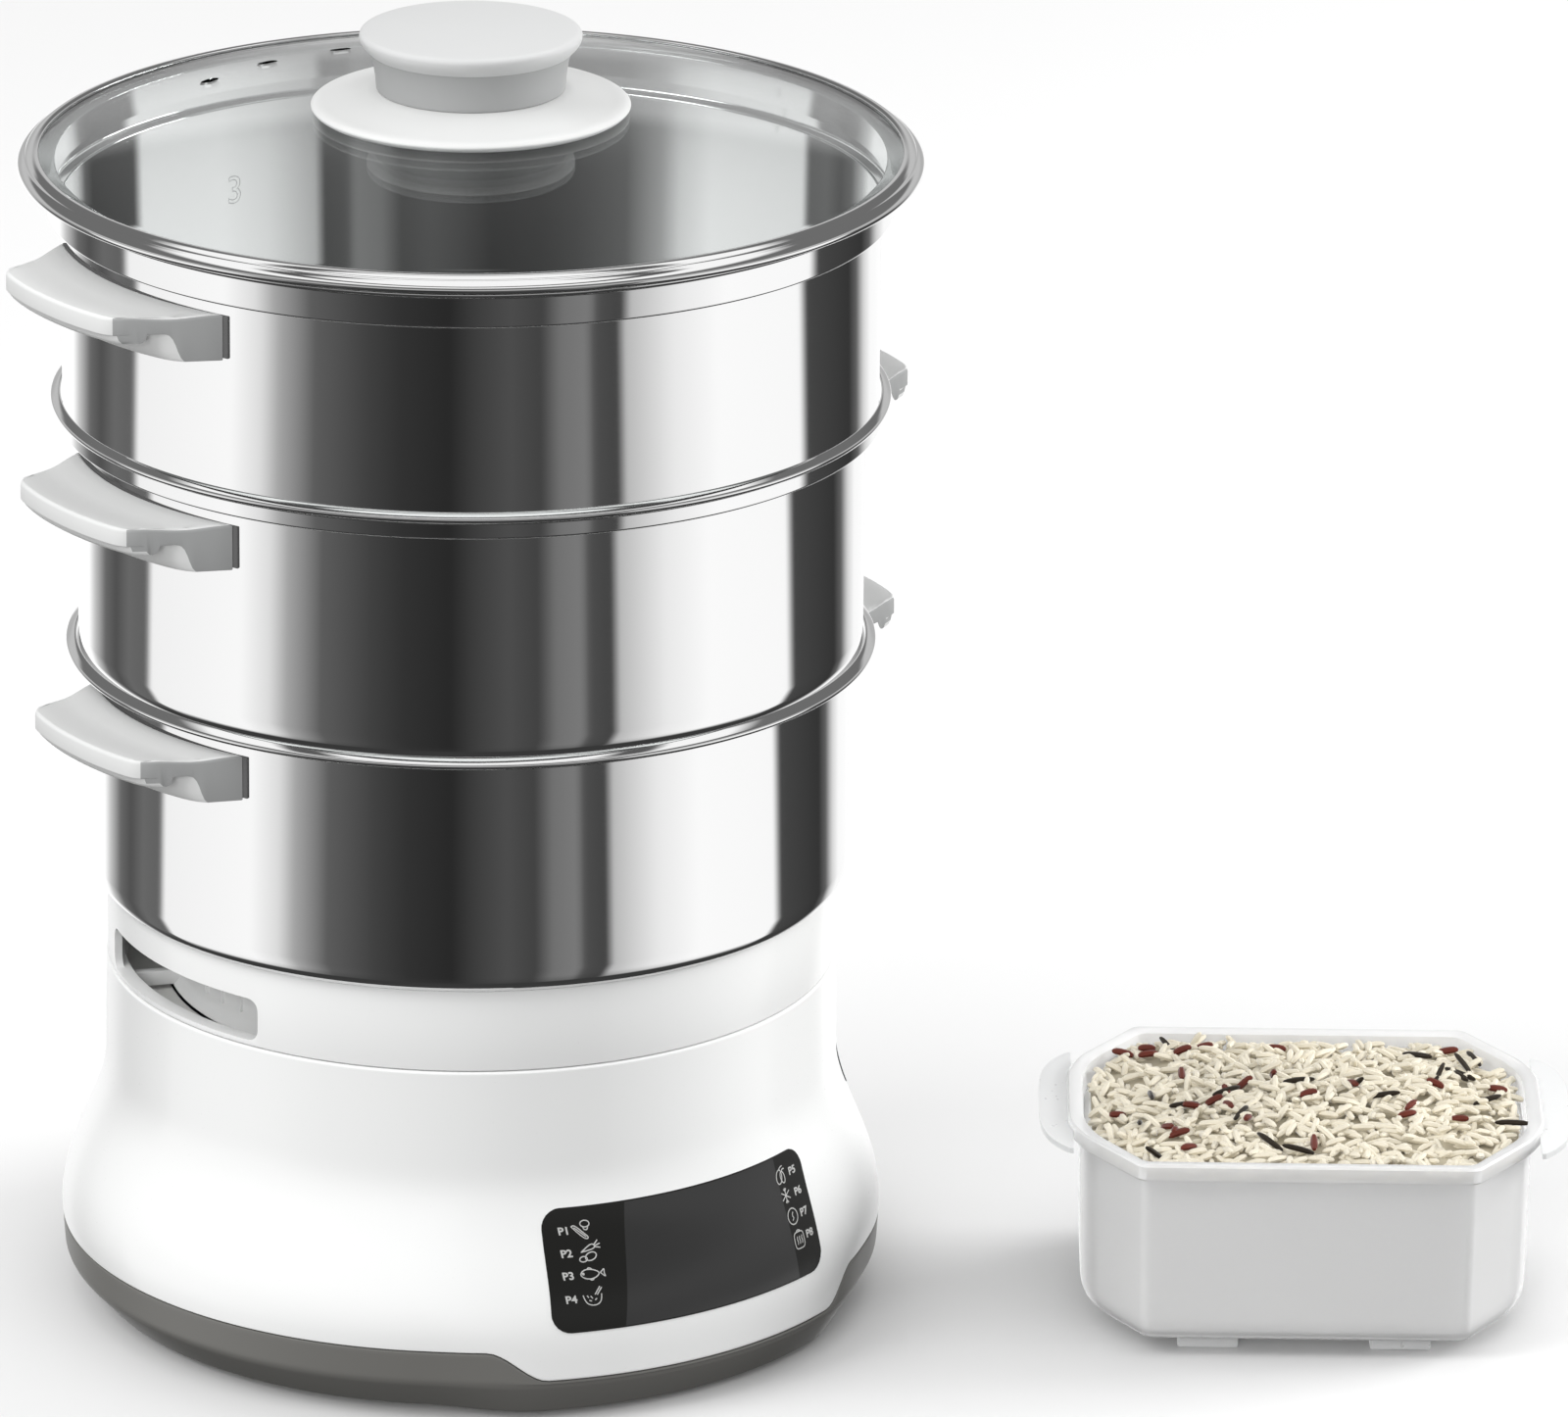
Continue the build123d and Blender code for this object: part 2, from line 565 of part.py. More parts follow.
def make_bottom_cover():
    body = (form & below_seam(SEAM_GAP)) - (cavity - disc(BELLY_R, 0, cover_floor_z))
    for spot in around(Pos(BOSS_RING_R, 0, 0), BOSS_COUNT, BOSS_START_DEG):
        post = spot * disc(BOSS_R, cover_floor_z, BOSS_JOIN_Z)
        body += post & cavity
        body -= spot * disc(screw_bore_r, BASE_LOW_Z, BOSS_JOIN_Z)
        body -= spot * disc(BASE_SCREW_HEAD_R + SCREW_GAP, BASE_LOW_Z, COUNTERBORE_Z)
    for x, y in board_screw_spots:
        body += Pos(x, y, 0) * ring(STANDOFF_R, BOARD_SCREW_R + SCREW_GAP, cover_floor_z,
                                    board_low_z)
    for spot in around(Pos(FOOT_RING_R, 0, 0), FOOT_COUNT, FOOT_START_DEG):
        body -= spot * disc(FOOT_STEM_R + FOOT_STEM_GAP, BASE_LOW_Z, cover_floor_z)
    pad = along_y(GLAND_PAD_R, GLAND_SEAT_Y - GLAND_PAD_T, BELLY_R, 0, GLAND_Z)
    body += pad & cavity & disc(BELLY_R, cover_floor_z, SEAM_Z - SEAM_GAP)
    cut_y = BELLY_R + GLAND_CUT_OVER
    body -= along_y(gland_hole_r, GLAND_SEAT_Y - 2 * GLAND_PAD_T, cut_y, 0, GLAND_Z)
    body -= along_y(GLAND_FLANGE_R + GLAND_HOLE_GAP, GLAND_SEAT_Y, cut_y, 0, GLAND_Z)
    return body + disc(COVER_PAD_R, BASE_LOW_Z - COVER_PAD_H, BASE_LOW_Z)


def make_feet():
    foot = disc(FOOT_R, 0, BASE_LOW_Z) + disc(FOOT_STEM_R, BASE_LOW_Z, cover_floor_z)
    return around(Pos(FOOT_RING_R, 0, 0) * foot, FOOT_COUNT, FOOT_START_DEG)


def make_base_screws():
    head = disc(BASE_SCREW_HEAD_R, COUNTERBORE_Z - BASE_SCREW_HEAD_T, COUNTERBORE_Z)
    screw = head + disc(BASE_SCREW_R, COUNTERBORE_Z, COUNTERBORE_Z + BASE_SCREW_L)
    return around(Pos(BOSS_RING_R, 0, 0) * screw, BOSS_COUNT, BOSS_START_DEG)


def make_gland():
    body = along_y(GLAND_FLANGE_R, GLAND_SEAT_Y, GLAND_SEAT_Y + GLAND_FLANGE_T, 0, GLAND_Z)
    body += along_y(GLAND_BODY_R, GLAND_SEAT_Y - GLAND_L, GLAND_SEAT_Y, 0, GLAND_Z)
    return body - along_y(GLAND_BORE_R, GLAND_SEAT_Y - GLAND_L, BELLY_R, 0, GLAND_Z)


def make_panel():
    window = front_window(PANEL_W, PANEL_LOW_Z, PANEL_HIGH_Z, PANEL_CORNER_R)
    return window & (form - skin_back)


def make_gauge():
    window = side_window(GAUGE_W, GAUGE_LOW_Z, GAUGE_HIGH_Z, GAUGE_CORNER_R, gauge_deg,
                         TANK_R, BELLY_R)
    return window & (form - skin_back)


def make_touch_board():
    board = Pos(0, TOUCH_BOARD_Y, panel_mid_z) * Box(TOUCH_BOARD_W, BOARD_T, TOUCH_BOARD_H)
    for side in (-1, 1):
        board -= along_y(BOARD_SCREW_R + SCREW_GAP, touch_front_y, touch_back_y,
                         side * TOUCH_SCREW_X, panel_mid_z)
    return board


def make_touch_screws():
    screws = []
    for side in (-1, 1):
        x = side * TOUCH_SCREW_X
        shank = along_y(BOARD_SCREW_R, touch_front_y - BOARD_SCREW_L, touch_back_y, x,
                        panel_mid_z)
        head = along_y(SCREW_HEAD_R, touch_back_y, touch_back_y + SCREW_HEAD_T, x, panel_mid_z)
        screws.append(shank + head)
    return screws


def make_power_board():
    board = Pos(0, POWER_BOARD_Y, board_low_z) * Box(POWER_BOARD_W, POWER_BOARD_D, BOARD_T,
                                                     align=BOTTOM)
    for x, y in board_screw_spots:
        board -= Pos(x, y, 0) * disc(BOARD_SCREW_R + SCREW_GAP, board_low_z, board_top_z)
    return board


def make_board_screws():
    screw = disc(BOARD_SCREW_R, board_low_z - BOARD_SCREW_L, board_top_z)
    screw += disc(SCREW_HEAD_R, board_top_z, board_top_z + SCREW_HEAD_T)
    return [Pos(x, y, 0) * screw for x, y in board_screw_spots]


def make_ribbon():
    low = RIBBON_RUN_Z
    outline = Polyline((0, touch_back_y, RIBBON_HIGH_Z), (0, touch_back_y, low),
                       (0, RIBBON_END_Y - RIBBON_T, low), (0, RIBBON_END_Y - RIBBON_T, board_top_z),
                       (0, RIBBON_END_Y, board_top_z), (0, RIBBON_END_Y, low + RIBBON_T),
                       (0, touch_back_y + RIBBON_T, low + RIBBON_T),
                       (0, touch_back_y + RIBBON_T, RIBBON_HIGH_Z), close=True)
    return extrude(make_face(outline), amount=RIBBON_W / 2, both=True, dir=(1, 0, 0))


# ---- tank and heater -------------------------------------------------------------------------
tank_floor_top_z = TANK_FLOOR_Z + TANK_WALL
plate_low_z = tank_floor_top_z + SEAL_T
plate_top_z = plate_low_z + HEATER_T
clamp_low_z = TANK_FLOOR_Z - CLAMP_T
element_z = plate_low_z - ELEMENT_R
heater_screw_top_z = plate_top_z - HEATER_SCREW_SKIN
heater_bore_r = HEATER_SCREW_R + SCREW_GAP


def heater_bores(low_z, high_z):
    """The screw holes that pass through the heater's clamped stack."""
    bore = Pos(HEATER_SCREW_RING_R, 0, 0) * disc(heater_bore_r, low_z, high_z)
    return around(bore, HEATER_SCREW_COUNT, 0)


def make_tank():
    tub = ring(TANK_R, TANK_R - TANK_WALL, TANK_FLOOR_Z, tank_top_z)
    tub += ring(TANK_R, HEATER_HOLE_R, TANK_FLOOR_Z, tank_floor_top_z)
    tub += ring(neck_inner_r - TANK_FLANGE_GAP, TANK_R - TANK_WALL, tank_flange_low_z, tank_top_z)
    return tub - heater_bores(TANK_FLOOR_Z, tank_floor_top_z)


def make_heater_seal():
    return ring(HEATER_R, HEATER_HOLE_R, tank_floor_top_z, plate_low_z) \
        - heater_bores(tank_floor_top_z, plate_low_z)


def make_heater_plate():
    return disc(HEATER_R, plate_low_z, plate_top_z) - heater_bores(plate_low_z,
                                                                   heater_screw_top_z)


def make_element():
    tube = Pos(ELEMENT_RING_R, 0, element_z) * (Rot(90, 0, 0) * Circle(ELEMENT_R))
    arc = 360.0 - 2 * ELEMENT_GAP_DEG / 2
    loop = revolve(tube, Axis.Z, revolution_arc=arc)
    return Rot(0, 0, FRONT_DEG + ELEMENT_GAP_DEG / 2) * loop


def make_heater_clamp():
    return ring(CLAMP_R, CLAMP_HOLE_R, clamp_low_z, TANK_FLOOR_Z) - heater_bores(clamp_low_z,
                                                                                TANK_FLOOR_Z)


def make_heater_screws():
    screw = disc(SCREW_HEAD_R, clamp_low_z - SCREW_HEAD_T, clamp_low_z)
    screw += disc(HEATER_SCREW_R, clamp_low_z, heater_screw_top_z)
    return around(Pos(HEATER_SCREW_RING_R, 0, 0) * screw, HEATER_SCREW_COUNT, 0)


def make_thermostat():
    return disc(THERMOSTAT_R, plate_low_z - THERMOSTAT_H, plate_low_z)


def make_fuse():
    bar = Rot(0, 90, 0) * Cylinder(FUSE_R, FUSE_L)
    return Pos(0, FUSE_OFFSET_Y, plate_low_z - FUSE_R) * bar


def make_heater_leads():
    end_deg = ELEMENT_GAP_DEG / 2 + LEAD_INSET_DEG
    top_z = element_z - ELEMENT_R
    leads = []
    for side in (-1, 1):
        x = side * ELEMENT_RING_R * sin(radians(end_deg))
        y = -ELEMENT_RING_R * cos(radians(end_deg))
        leads.append(Pos(x, y, 0) * disc(LEAD_R, board_top_z, top_z))
    return leads


# ---- drip tray -------------------------------------------------------------------------------
spigot_r = neck_inner_r - TRAY_SPIGOT_GAP
spigot_inner_r = spigot_r - TRAY_SPIGOT_WALL
spoke_low_z = tank_top_z + SPOKE_SEAT_T
dish_low_z = tank_top_z + DISH_GAP
spoke_start_deg = 180.0 / SPOKE_COUNT


def make_tray_collar():
    """The white ring between housing and bowl, with two filler slots and seats for the dish."""
    low_z = BASE_TOP_Z + TRAY_GAP
    collar = ring(COLLAR_R, COLLAR_R - COLLAR_WALL, low_z, COLLAR_TOP_Z)
    collar += ring(COLLAR_R, spigot_inner_r, low_z, SLOT_LOW_Z)
    collar += ring(spigot_r, spigot_inner_r, tank_top_z, low_z)
    seat = sector(spigot_r, spigot_inner_r - SPOKE_SEAT_W, tank_top_z, spoke_low_z, 0,
                  SPOKE_SEAT_HALF_DEG)
    for piece in around(seat, SPOKE_COUNT, spoke_start_deg):
        collar += piece
    slot_w = 2 * COLLAR_R * sin(radians(SLOT_HALF_DEG))
    for side_deg in (0, 180):
        collar -= side_window(slot_w, SLOT_LOW_Z, SLOT_HIGH_Z, SLOT_CORNER_R, side_deg,
                              DISH_R, COLLAR_R + COLLAR_WALL)
    return collar


def make_drip_dish():
    """The dish that catches the drips, hung in the collar on its spokes."""
    dish = ring(DISH_R, DISH_R - DISH_WALL, dish_low_z, dish_low_z + DISH_H)
    dish += disc(DISH_R - DISH_WALL, dish_low_z, dish_low_z + DISH_WALL)
    root_r = DISH_R - DISH_WALL / 2
    spoke_l = spigot_inner_r - SPOKE_END_GAP - root_r
    spoke = Pos(root_r + spoke_l / 2, 0, spoke_low_z) * Box(spoke_l, SPOKE_W, SPOKE_H,
                                                            align=BOTTOM)
    for piece in around(spoke, SPOKE_COUNT, spoke_start_deg):
        dish += piece
    for side_deg in (0, 180):
        for step in (-1, 0, 1):
            rib = Pos(DISH_R, 0, BASE_TOP_Z - RIB_DROP) * Box(2 * RIB_W, RIB_W, RIB_H,
                                                              align=BOTTOM)
            dish += Rot(0, 0, side_deg + step * RIB_STEP_DEG) * rib
    return dish


# ---- steam bowls -----------------------------------------------------------------------------
def outline_face(start, steps):
    """A closed outline in the (radius, height) plane. A step is a point or (mid, end) of an arc."""
    here = start
    edges = []
    for step in steps + [start]:
        if isinstance(step[0], tuple):
            mid, end = step
            edges.append(ThreePointArc((here[0], 0, here[1]), (mid[0], 0, mid[1]),
                                       (end[0], 0, end[1])))
        else:
            end = step
            edges.append(Line((here[0], 0, here[1]), (end[0], 0, end[1])))
        here = end
    return make_face(Curve() + edges)


def floor_holes(low_z, high_z):
    """Rings of round steam holes for a bowl's floor."""
    hole = disc(HOLE_R, low_z, high_z)
    holes = [hole]
    for i in range(1, HOLE_RING_COUNT + 1):
        holes += around(Pos(i * HOLE_RING_STEP, 0, 0) * hole, 6 * i, 0)
    return holes


def rivet_spots(wall_r, handle_top_z):
    """Where the rivets pass through the wall, as turned places with X outward."""
    z = handle_top_z - RIVET_DROP
    return [Rot(0, 0, side + step * RIVET_DEG) * Pos(wall_r, 0, z)
            for side in (0, 180) for step in (-1, 1)]


def radial_bar(radius, near, far):
    """A round bar along the local X."""
    return Pos(near, 0, 0) * (Rot(0, 90, 0) * Cylinder(radius, far - near, align=BOTTOM))


def make_bowl(wall_r, seat_z, foot_r, band_r, band_low_z, lip_r, lip_top_z, handle_top_z):
    """A drawn steel bowl: perforated floor, foot, rounded shoulder, wall, band and rolled lip."""
    floor_z = seat_z - FOOT_DEPTH
    shoulder_r = wall_r - SHOULDER_DROP
    wall_low_z = seat_z + SHOULDER_H
    lip_low_z = lip_top_z - LIP_DROP
    band_in = band_r - SHEET
    outer_mid = (wall_r - SHOULDER_DROP * 0.22, seat_z + SHOULDER_H * 0.42)
    inner_mid = (outer_mid[0] - SHEET, outer_mid[1] + SHEET * 0.3)
    face = outline_face((0, floor_z), [
        (foot_r, floor_z), (foot_r, seat_z), (shoulder_r, seat_z),
        (outer_mid, (wall_r, wall_low_z)),
        (wall_r, band_low_z), (band_r, band_low_z), (band_r, lip_low_z),
        (lip_r - LIP_EDGE_CUT, lip_low_z), (lip_r, lip_low_z + LIP_EDGE_CUT),
        ((lip_r - LIP_ROLL_W * 0.41, lip_top_z - LIP_DROP * 0.27), (lip_r - LIP_ROLL_W, lip_top_z)),
        (band_in, lip_top_z), (band_in, band_low_z + SHEET),
        (wall_r - SHEET, band_low_z + SHEET), (wall_r - SHEET, wall_low_z),
        (inner_mid, (shoulder_r - SHEET, seat_z + SHEET)),
        (foot_r - SHEET, seat_z + SHEET), (foot_r - SHEET, floor_z + SHEET),
        (0, floor_z + SHEET)])
    body = revolve(face, Axis.Z) - floor_holes(floor_z, floor_z + SHEET)
    for spot in rivet_spots(wall_r, handle_top_z):
        body -= spot * radial_bar(RIVET_R + RIVET_GAP, -2 * SHEET, SHEET)
    return body


def make_handle(wall_r, top_z, side_deg):
    """A side handle: a shelf on a wall apron, with a rib under the shelf for the fingers."""
    back_r = wall_r + BRACKET_GAP + BRACKET_T + HANDLE_GAP
    end = radians(HANDLE_END_DEG)
    corner_x = wall_r + HANDLE_CORNER_REACH
    low_z = top_z - HANDLE_H
    root = (back_r * cos(end), back_r * sin(end))
    edges = [
        Line((root[0], root[1], low_z), (corner_x, HANDLE_CORNER_Y, low_z)),
        ThreePointArc((corner_x, HANDLE_CORNER_Y, low_z), (wall_r + HANDLE_REACH, 0, low_z),
                      (corner_x, -HANDLE_CORNER_Y, low_z)),
        Line((corner_x, -HANDLE_CORNER_Y, low_z), (root[0], -root[1], low_z)),
        ThreePointArc((root[0], -root[1], low_z), (back_r, 0, low_z), (root[0], root[1], low_z))]
    plan = make_face(Curve() + edges)
    corners = plan.vertices().sort_by(Axis.X)[-2:]
    plan = fillet(corners, HANDLE_CORNER_R)
    body = extrude(plan, amount=HANDLE_H, dir=(0, 0, 1))
    shelf_low_z = top_z - SHELF_T
    body -= ring(wall_r + 2 * HANDLE_REACH, back_r + APRON_T, low_z, shelf_low_z)
    top_edges = body.edges().filter_by_position(Axis.Z, top_z - 0.01, top_z + 0.01)
    outer = [e for e in top_edges if (e @ 0.5).X > back_r + 1]
    body = fillet(outer, HANDLE_EDGE_R)
    rib = sector(wall_r + GRIP_RIB_REACH + GRIP_RIB_R, wall_r + GRIP_RIB_REACH,
                 shelf_low_z - GRIP_RIB_R, shelf_low_z, 0, GRIP_RIB_HALF_DEG)
    body += rib
    place = Rot(0, 0, side_deg)
    for step in (-1, 1):
        hole = Rot(0, 0, step * RIVET_DEG) * (Pos(wall_r, 0, top_z - RIVET_DROP)
                                               * radial_bar(RIVET_R + RIVET_GAP, 0, RIVET_L))
        body -= hole
    return place * body


def make_brackets(wall_r, top_z):
    """The two curved plates between the wall and its handles."""
    plates = []
    for side in (0, 180):
        inner_r = wall_r + BRACKET_GAP
        plate = sector(inner_r + BRACKET_T, inner_r, top_z - HANDLE_H + BRACKET_INSET,
                       top_z - BRACKET_INSET, side, BRACKET_END_DEG)
        plates.append(plate)
    cut = [spot * radial_bar(RIVET_R + RIVET_GAP, -SHEET, 2 * BRACKET_T)
           for spot in rivet_spots(wall_r, top_z)]
    return [plate - cut for plate in plates]


def make_rivets(wall_r, top_z):
    """Domed rivets, headed inside the bowl."""
    inside = -SHEET
    rivets = []
    for spot in rivet_spots(wall_r, top_z):
        shank = radial_bar(RIVET_R, inside - RIVET_HEAD_T / 2, RIVET_L)
        head = radial_bar(RIVET_HEAD_R, inside - RIVET_HEAD_T, inside - RIVET_HEAD_GAP)
        rivets.append(spot * (shank + head))
    return rivets


# ---- lid -------------------------------------------------------------------------------------
band_inner_r = TOP_BAND_R - SHEET
lid_skirt_r = band_inner_r - LID_SKIRT_GAP
sphere_z = GLASS_CROWN_Z - GLASS_SPHERE_R
glass_low_z = GLASS_CROWN_Z - GLASS_T
knob_seal_low_z = glass_low_z - KNOB_SEAL_T
knob_screw_top_z = knob_seal_low_z + KNOB_SCREW_L


def dome(radius):
    """The ball whose top is one face of the lid's glass."""
    return Pos(0, 0, sphere_z) * Sphere(radius)


def make_glass():
    blank = disc(GLASS_R, TOP_LIP_TOP_Z, GLASS_CROWN_Z)
    glass = (blank & dome(GLASS_SPHERE_R)) - dome(GLASS_SPHERE_R - GLASS_T)
    glass -= disc(KNOB_HOLE_R, TOP_LIP_TOP_Z, GLASS_CROWN_Z + 1)
    vent = extrude(SlotOverall(VENT_L, VENT_W), amount=GLASS_CROWN_Z - TOP_LIP_TOP_Z)
    for step in (-1, 0, 1):
        turned = Rot(0, 0, VENT_CENTRE_DEG + step * VENT_STEP_DEG)
        glass -= turned * (Pos(VENT_R, 0, TOP_LIP_TOP_Z) * (Rot(0, 0, 90) * vent))
    return glass


def make_lid_rim():
    seat_z = TOP_LIP_TOP_Z
    edge_mid_z = seat_z + LID_RIM_EDGE_T / 2
    top_z = seat_z + LID_RIM_EDGE_T + LID_RIM_RISE
    skirt_in = lid_skirt_r - 2 * SHEET
    face = outline_face((skirt_in, LID_SKIRT_LOW_Z), [
        (lid_skirt_r, LID_SKIRT_LOW_Z), (lid_skirt_r, seat_z),
        (LID_RIM_R - LID_RIM_EDGE_CUT, seat_z),
        ((LID_RIM_R, edge_mid_z), (LID_RIM_R - LID_RIM_EDGE_CUT, seat_z + LID_RIM_EDGE_T)),
        (LID_RIM_INNER_R + LID_RIM_EASE, top_z), (LID_RIM_INNER_R, top_z - LID_RIM_EASE_H),
        (LID_RIM_INNER_R, seat_z + RIM_UNDER_H), (skirt_in, seat_z + RIM_UNDER_H)])
    pocket = disc(GLASS_R + GLASS_GAP, seat_z, GLASS_CROWN_Z) & dome(GLASS_SPHERE_R + GLASS_GAP)
    under = ring(GLASS_R + LID_LEDGE_BURY, skirt_in, seat_z, seat_z + RIM_UNDER_H)
    under &= dome(GLASS_SPHERE_R - GLASS_T - GLASS_GAP)
    return revolve(face, Axis.Z) - pocket + under


def make_flange():
    lap_r = FLANGE_R - FLANGE_LAP
    edge_r = FLANGE_R - FLANGE_EDGE_CUT
    edge_low_z = FLANGE_EDGE_Z - FLANGE_EDGE_T / 2
    face = outline_face((KNOB_HOLE_R, glass_low_z), [
        (lap_r, glass_low_z), (lap_r, edge_low_z), (edge_r, edge_low_z),
        ((FLANGE_R, FLANGE_EDGE_Z), (edge_r, FLANGE_EDGE_Z + FLANGE_EDGE_T / 2)),
        ((NECK_LOW_R + FLANGE_SWEEP_W, NECK_LOW_Z - FLANGE_SWEEP_DROP), (NECK_LOW_R, NECK_LOW_Z)),
        (KNOB_HOLE_R, NECK_LOW_Z)])
    return revolve(face, Axis.Z) - dome(GLASS_SPHERE_R + GLASS_GAP)


def make_knob():
    edge_low_z = KNOB_NECK_TOP_Z
    edge_top_z = edge_low_z + KNOB_EDGE_T
    crown_r = KNOB_R - KNOB_EDGE_R
    sphere_r = (crown_r ** 2 + KNOB_CROWN_H ** 2) / (2 * KNOB_CROWN_H)
    mid_z = (NECK_LOW_Z + KNOB_NECK_TOP_Z) / 2
    face = outline_face((0, NECK_LOW_Z), [
        (NECK_LOW_R, NECK_LOW_Z),
        ((KNOB_NECK_R - 0.55 * NECK_FLARE, mid_z), (KNOB_NECK_R, KNOB_NECK_TOP_Z - KNOB_TOP_T)),
        ((KNOB_R - KNOB_UNDER_CUT, edge_low_z), (KNOB_R, edge_top_z - KNOB_SIDE_DROP)),
        ((KNOB_R - KNOB_EASE, edge_top_z - KNOB_EASE_H), (crown_r, edge_top_z)),
        (crown_r, edge_top_z + KNOB_CROWN_H), (0, edge_top_z + KNOB_CROWN_H)])
    knob = revolve(face, Axis.Z)
    crown_z = edge_top_z + KNOB_CROWN_H - sphere_r
    knob &= Pos(0, 0, crown_z) * Sphere(sphere_r)
    knob -= ring(NECK_LOW_R - KNOB_WALL, KNOB_CORE_R, NECK_LOW_Z, KNOB_NECK_TOP_Z - KNOB_TOP_T)
    return knob - disc(KNOB_SCREW_R + SCREW_GAP, NECK_LOW_Z, knob_screw_top_z + SCREW_TIP_GAP)


def make_knob_seal():
    seal = ring(KNOB_SEAL_R, KNOB_SCREW_R + SCREW_GAP, knob_seal_low_z, glass_low_z)
    return seal & dome(GLASS_SPHERE_R - GLASS_T - GLASS_GAP)


def make_knob_screw():
    head = disc(KNOB_SCREW_HEAD_R, knob_seal_low_z - KNOB_SCREW_HEAD_T, knob_seal_low_z)
    return head + disc(KNOB_SCREW_R, knob_seal_low_z, knob_screw_top_z)


# ---- rice bowl -------------------------------------------------------------------------------
def rice_outline(inset, z):
    """The bowl's plan at one level: long sides, slanted corners and rounded ends."""
    half_l = RICE_L / 2 - inset
    half_w = RICE_W / 2 - inset
    flat_x = RICE_L / 2 - RICE_CHAMFER_X - inset * 0.4
    flat_y = RICE_W / 2 - RICE_CHAMFER_Y
    points = [(flat_x, half_w), (half_l, flat_y), (half_l, -flat_y), (flat_x, -half_w),
              (-flat_x, -half_w), (-half_l, -flat_y), (-half_l, flat_y), (-flat_x, half_w)]
    face = make_face(Polyline(*points, close=True))
    ends = [v for v in face.vertices() if abs(v.X) > half_l - 1]
    face = fillet(ends, RICE_CORNER_R - inset)
    return Pos(0, 0, z) * face


def rice_block(inset, low_z, edge_r):
    """A drafted block up to the rim's level, with a rounded lower edge."""
    block = loft([rice_outline(RICE_DRAFT + inset, low_z), rice_outline(inset, RICE_H)],
                 ruled=True)
    low_edges = block.edges().filter_by_position(Axis.Z, low_z - 0.01, low_z + 0.01)
    return fillet(low_edges, edge_r)


def make_rice_bowl():
    low_z = RICE_FOOT_H
    outer = rice_block(0, low_z, RICE_EDGE_R)
    inner = rice_block(RICE_WALL, low_z + RICE_WALL, RICE_EDGE_R - RICE_WALL)
    rim = extrude(rice_outline(-RICE_RIM_W, RICE_H - RICE_RIM_H), amount=RICE_RIM_H)
    rim -= extrude(rice_outline(RICE_RIM_LIP - RICE_RIM_W, RICE_H - RICE_RIM_H),
                   amount=RICE_RIM_H - RICE_RIM_T)
    body = outer + rim
    tip_x = RICE_L / 2 + RICE_TAB_REACH
    root_x = RICE_L / 2 - RICE_TAB_ROOT
    corner_x = tip_x - RICE_TAB_CORNER
    corner_y = RICE_TAB_HALF_W - RICE_TAB_CORNER / 2
    for side in (-1, 1):
        points = [(side * root_x, -RICE_TAB_HALF_W), (side * corner_x, -corner_y),
                  (side * tip_x, -RICE_TAB_TIP_HALF_W), (side * tip_x, RICE_TAB_TIP_HALF_W),
                  (side * corner_x, corner_y), (side * root_x, RICE_TAB_HALF_W)]
        tab = make_face(Polyline(*points, close=True))
        body += extrude(Pos(0, 0, RICE_H - 2 * RICE_TAB_T) * tab, amount=RICE_TAB_T)
    body -= inner
    for sx in (-1, 1):
        for sy in (-1, 1):
            foot = Pos(sx * RICE_FOOT_X, sy * RICE_FOOT_Y, 0) * Box(
                RICE_FOOT_L, RICE_FOOT_W, low_z, align=BOTTOM)
            body += foot
    turn = Rot(0, 0, RICE_TURN_DEG)
    return turn * (Pos(RICE_DISTANCE, -RICE_FORWARD, 0) * body)


# ---- all the pieces --------------------------------------------------------------------------
BOWLS = {
    "bottom": dict(wall_r=BOTTOM_WALL_R, seat_z=COLLAR_TOP_Z,
                   foot_r=COLLAR_R - COLLAR_WALL - FOOT_GAP,
                   band_r=BOTTOM_BAND_R, band_low_z=BOTTOM_BAND_LOW_Z,
                   lip_r=BOTTOM_BAND_R + BOTTOM_LIP_OUT, lip_top_z=BOTTOM_LIP_TOP_Z,
                   handle_top_z=BOTTOM_BAND_LOW_Z - BOTTOM_HANDLE_DROP),
    "middle": dict(wall_r=MIDDLE_WALL_R, seat_z=MIDDLE_SEAT_Z,
                   foot_r=BOTTOM_WALL_R - SHEET - FOOT_GAP,
                   band_r=MIDDLE_BAND_R, band_low_z=MIDDLE_BAND_LOW_Z,
                   lip_r=MIDDLE_BAND_R + MIDDLE_LIP_OUT, lip_top_z=MIDDLE_LIP_TOP_Z,
                   handle_top_z=MIDDLE_BAND_LOW_Z - MIDDLE_HANDLE_DROP),
    "top": dict(wall_r=TOP_WALL_R, seat_z=TOP_SEAT_Z,
                foot_r=MIDDLE_WALL_R - SHEET - FOOT_GAP,
                band_r=TOP_BAND_R, band_low_z=TOP_BAND_LOW_Z,
                lip_r=TOP_LIP_R, lip_top_z=TOP_LIP_TOP_Z,
                handle_top_z=TOP_BAND_LOW_Z - TOP_HANDLE_DROP),
}

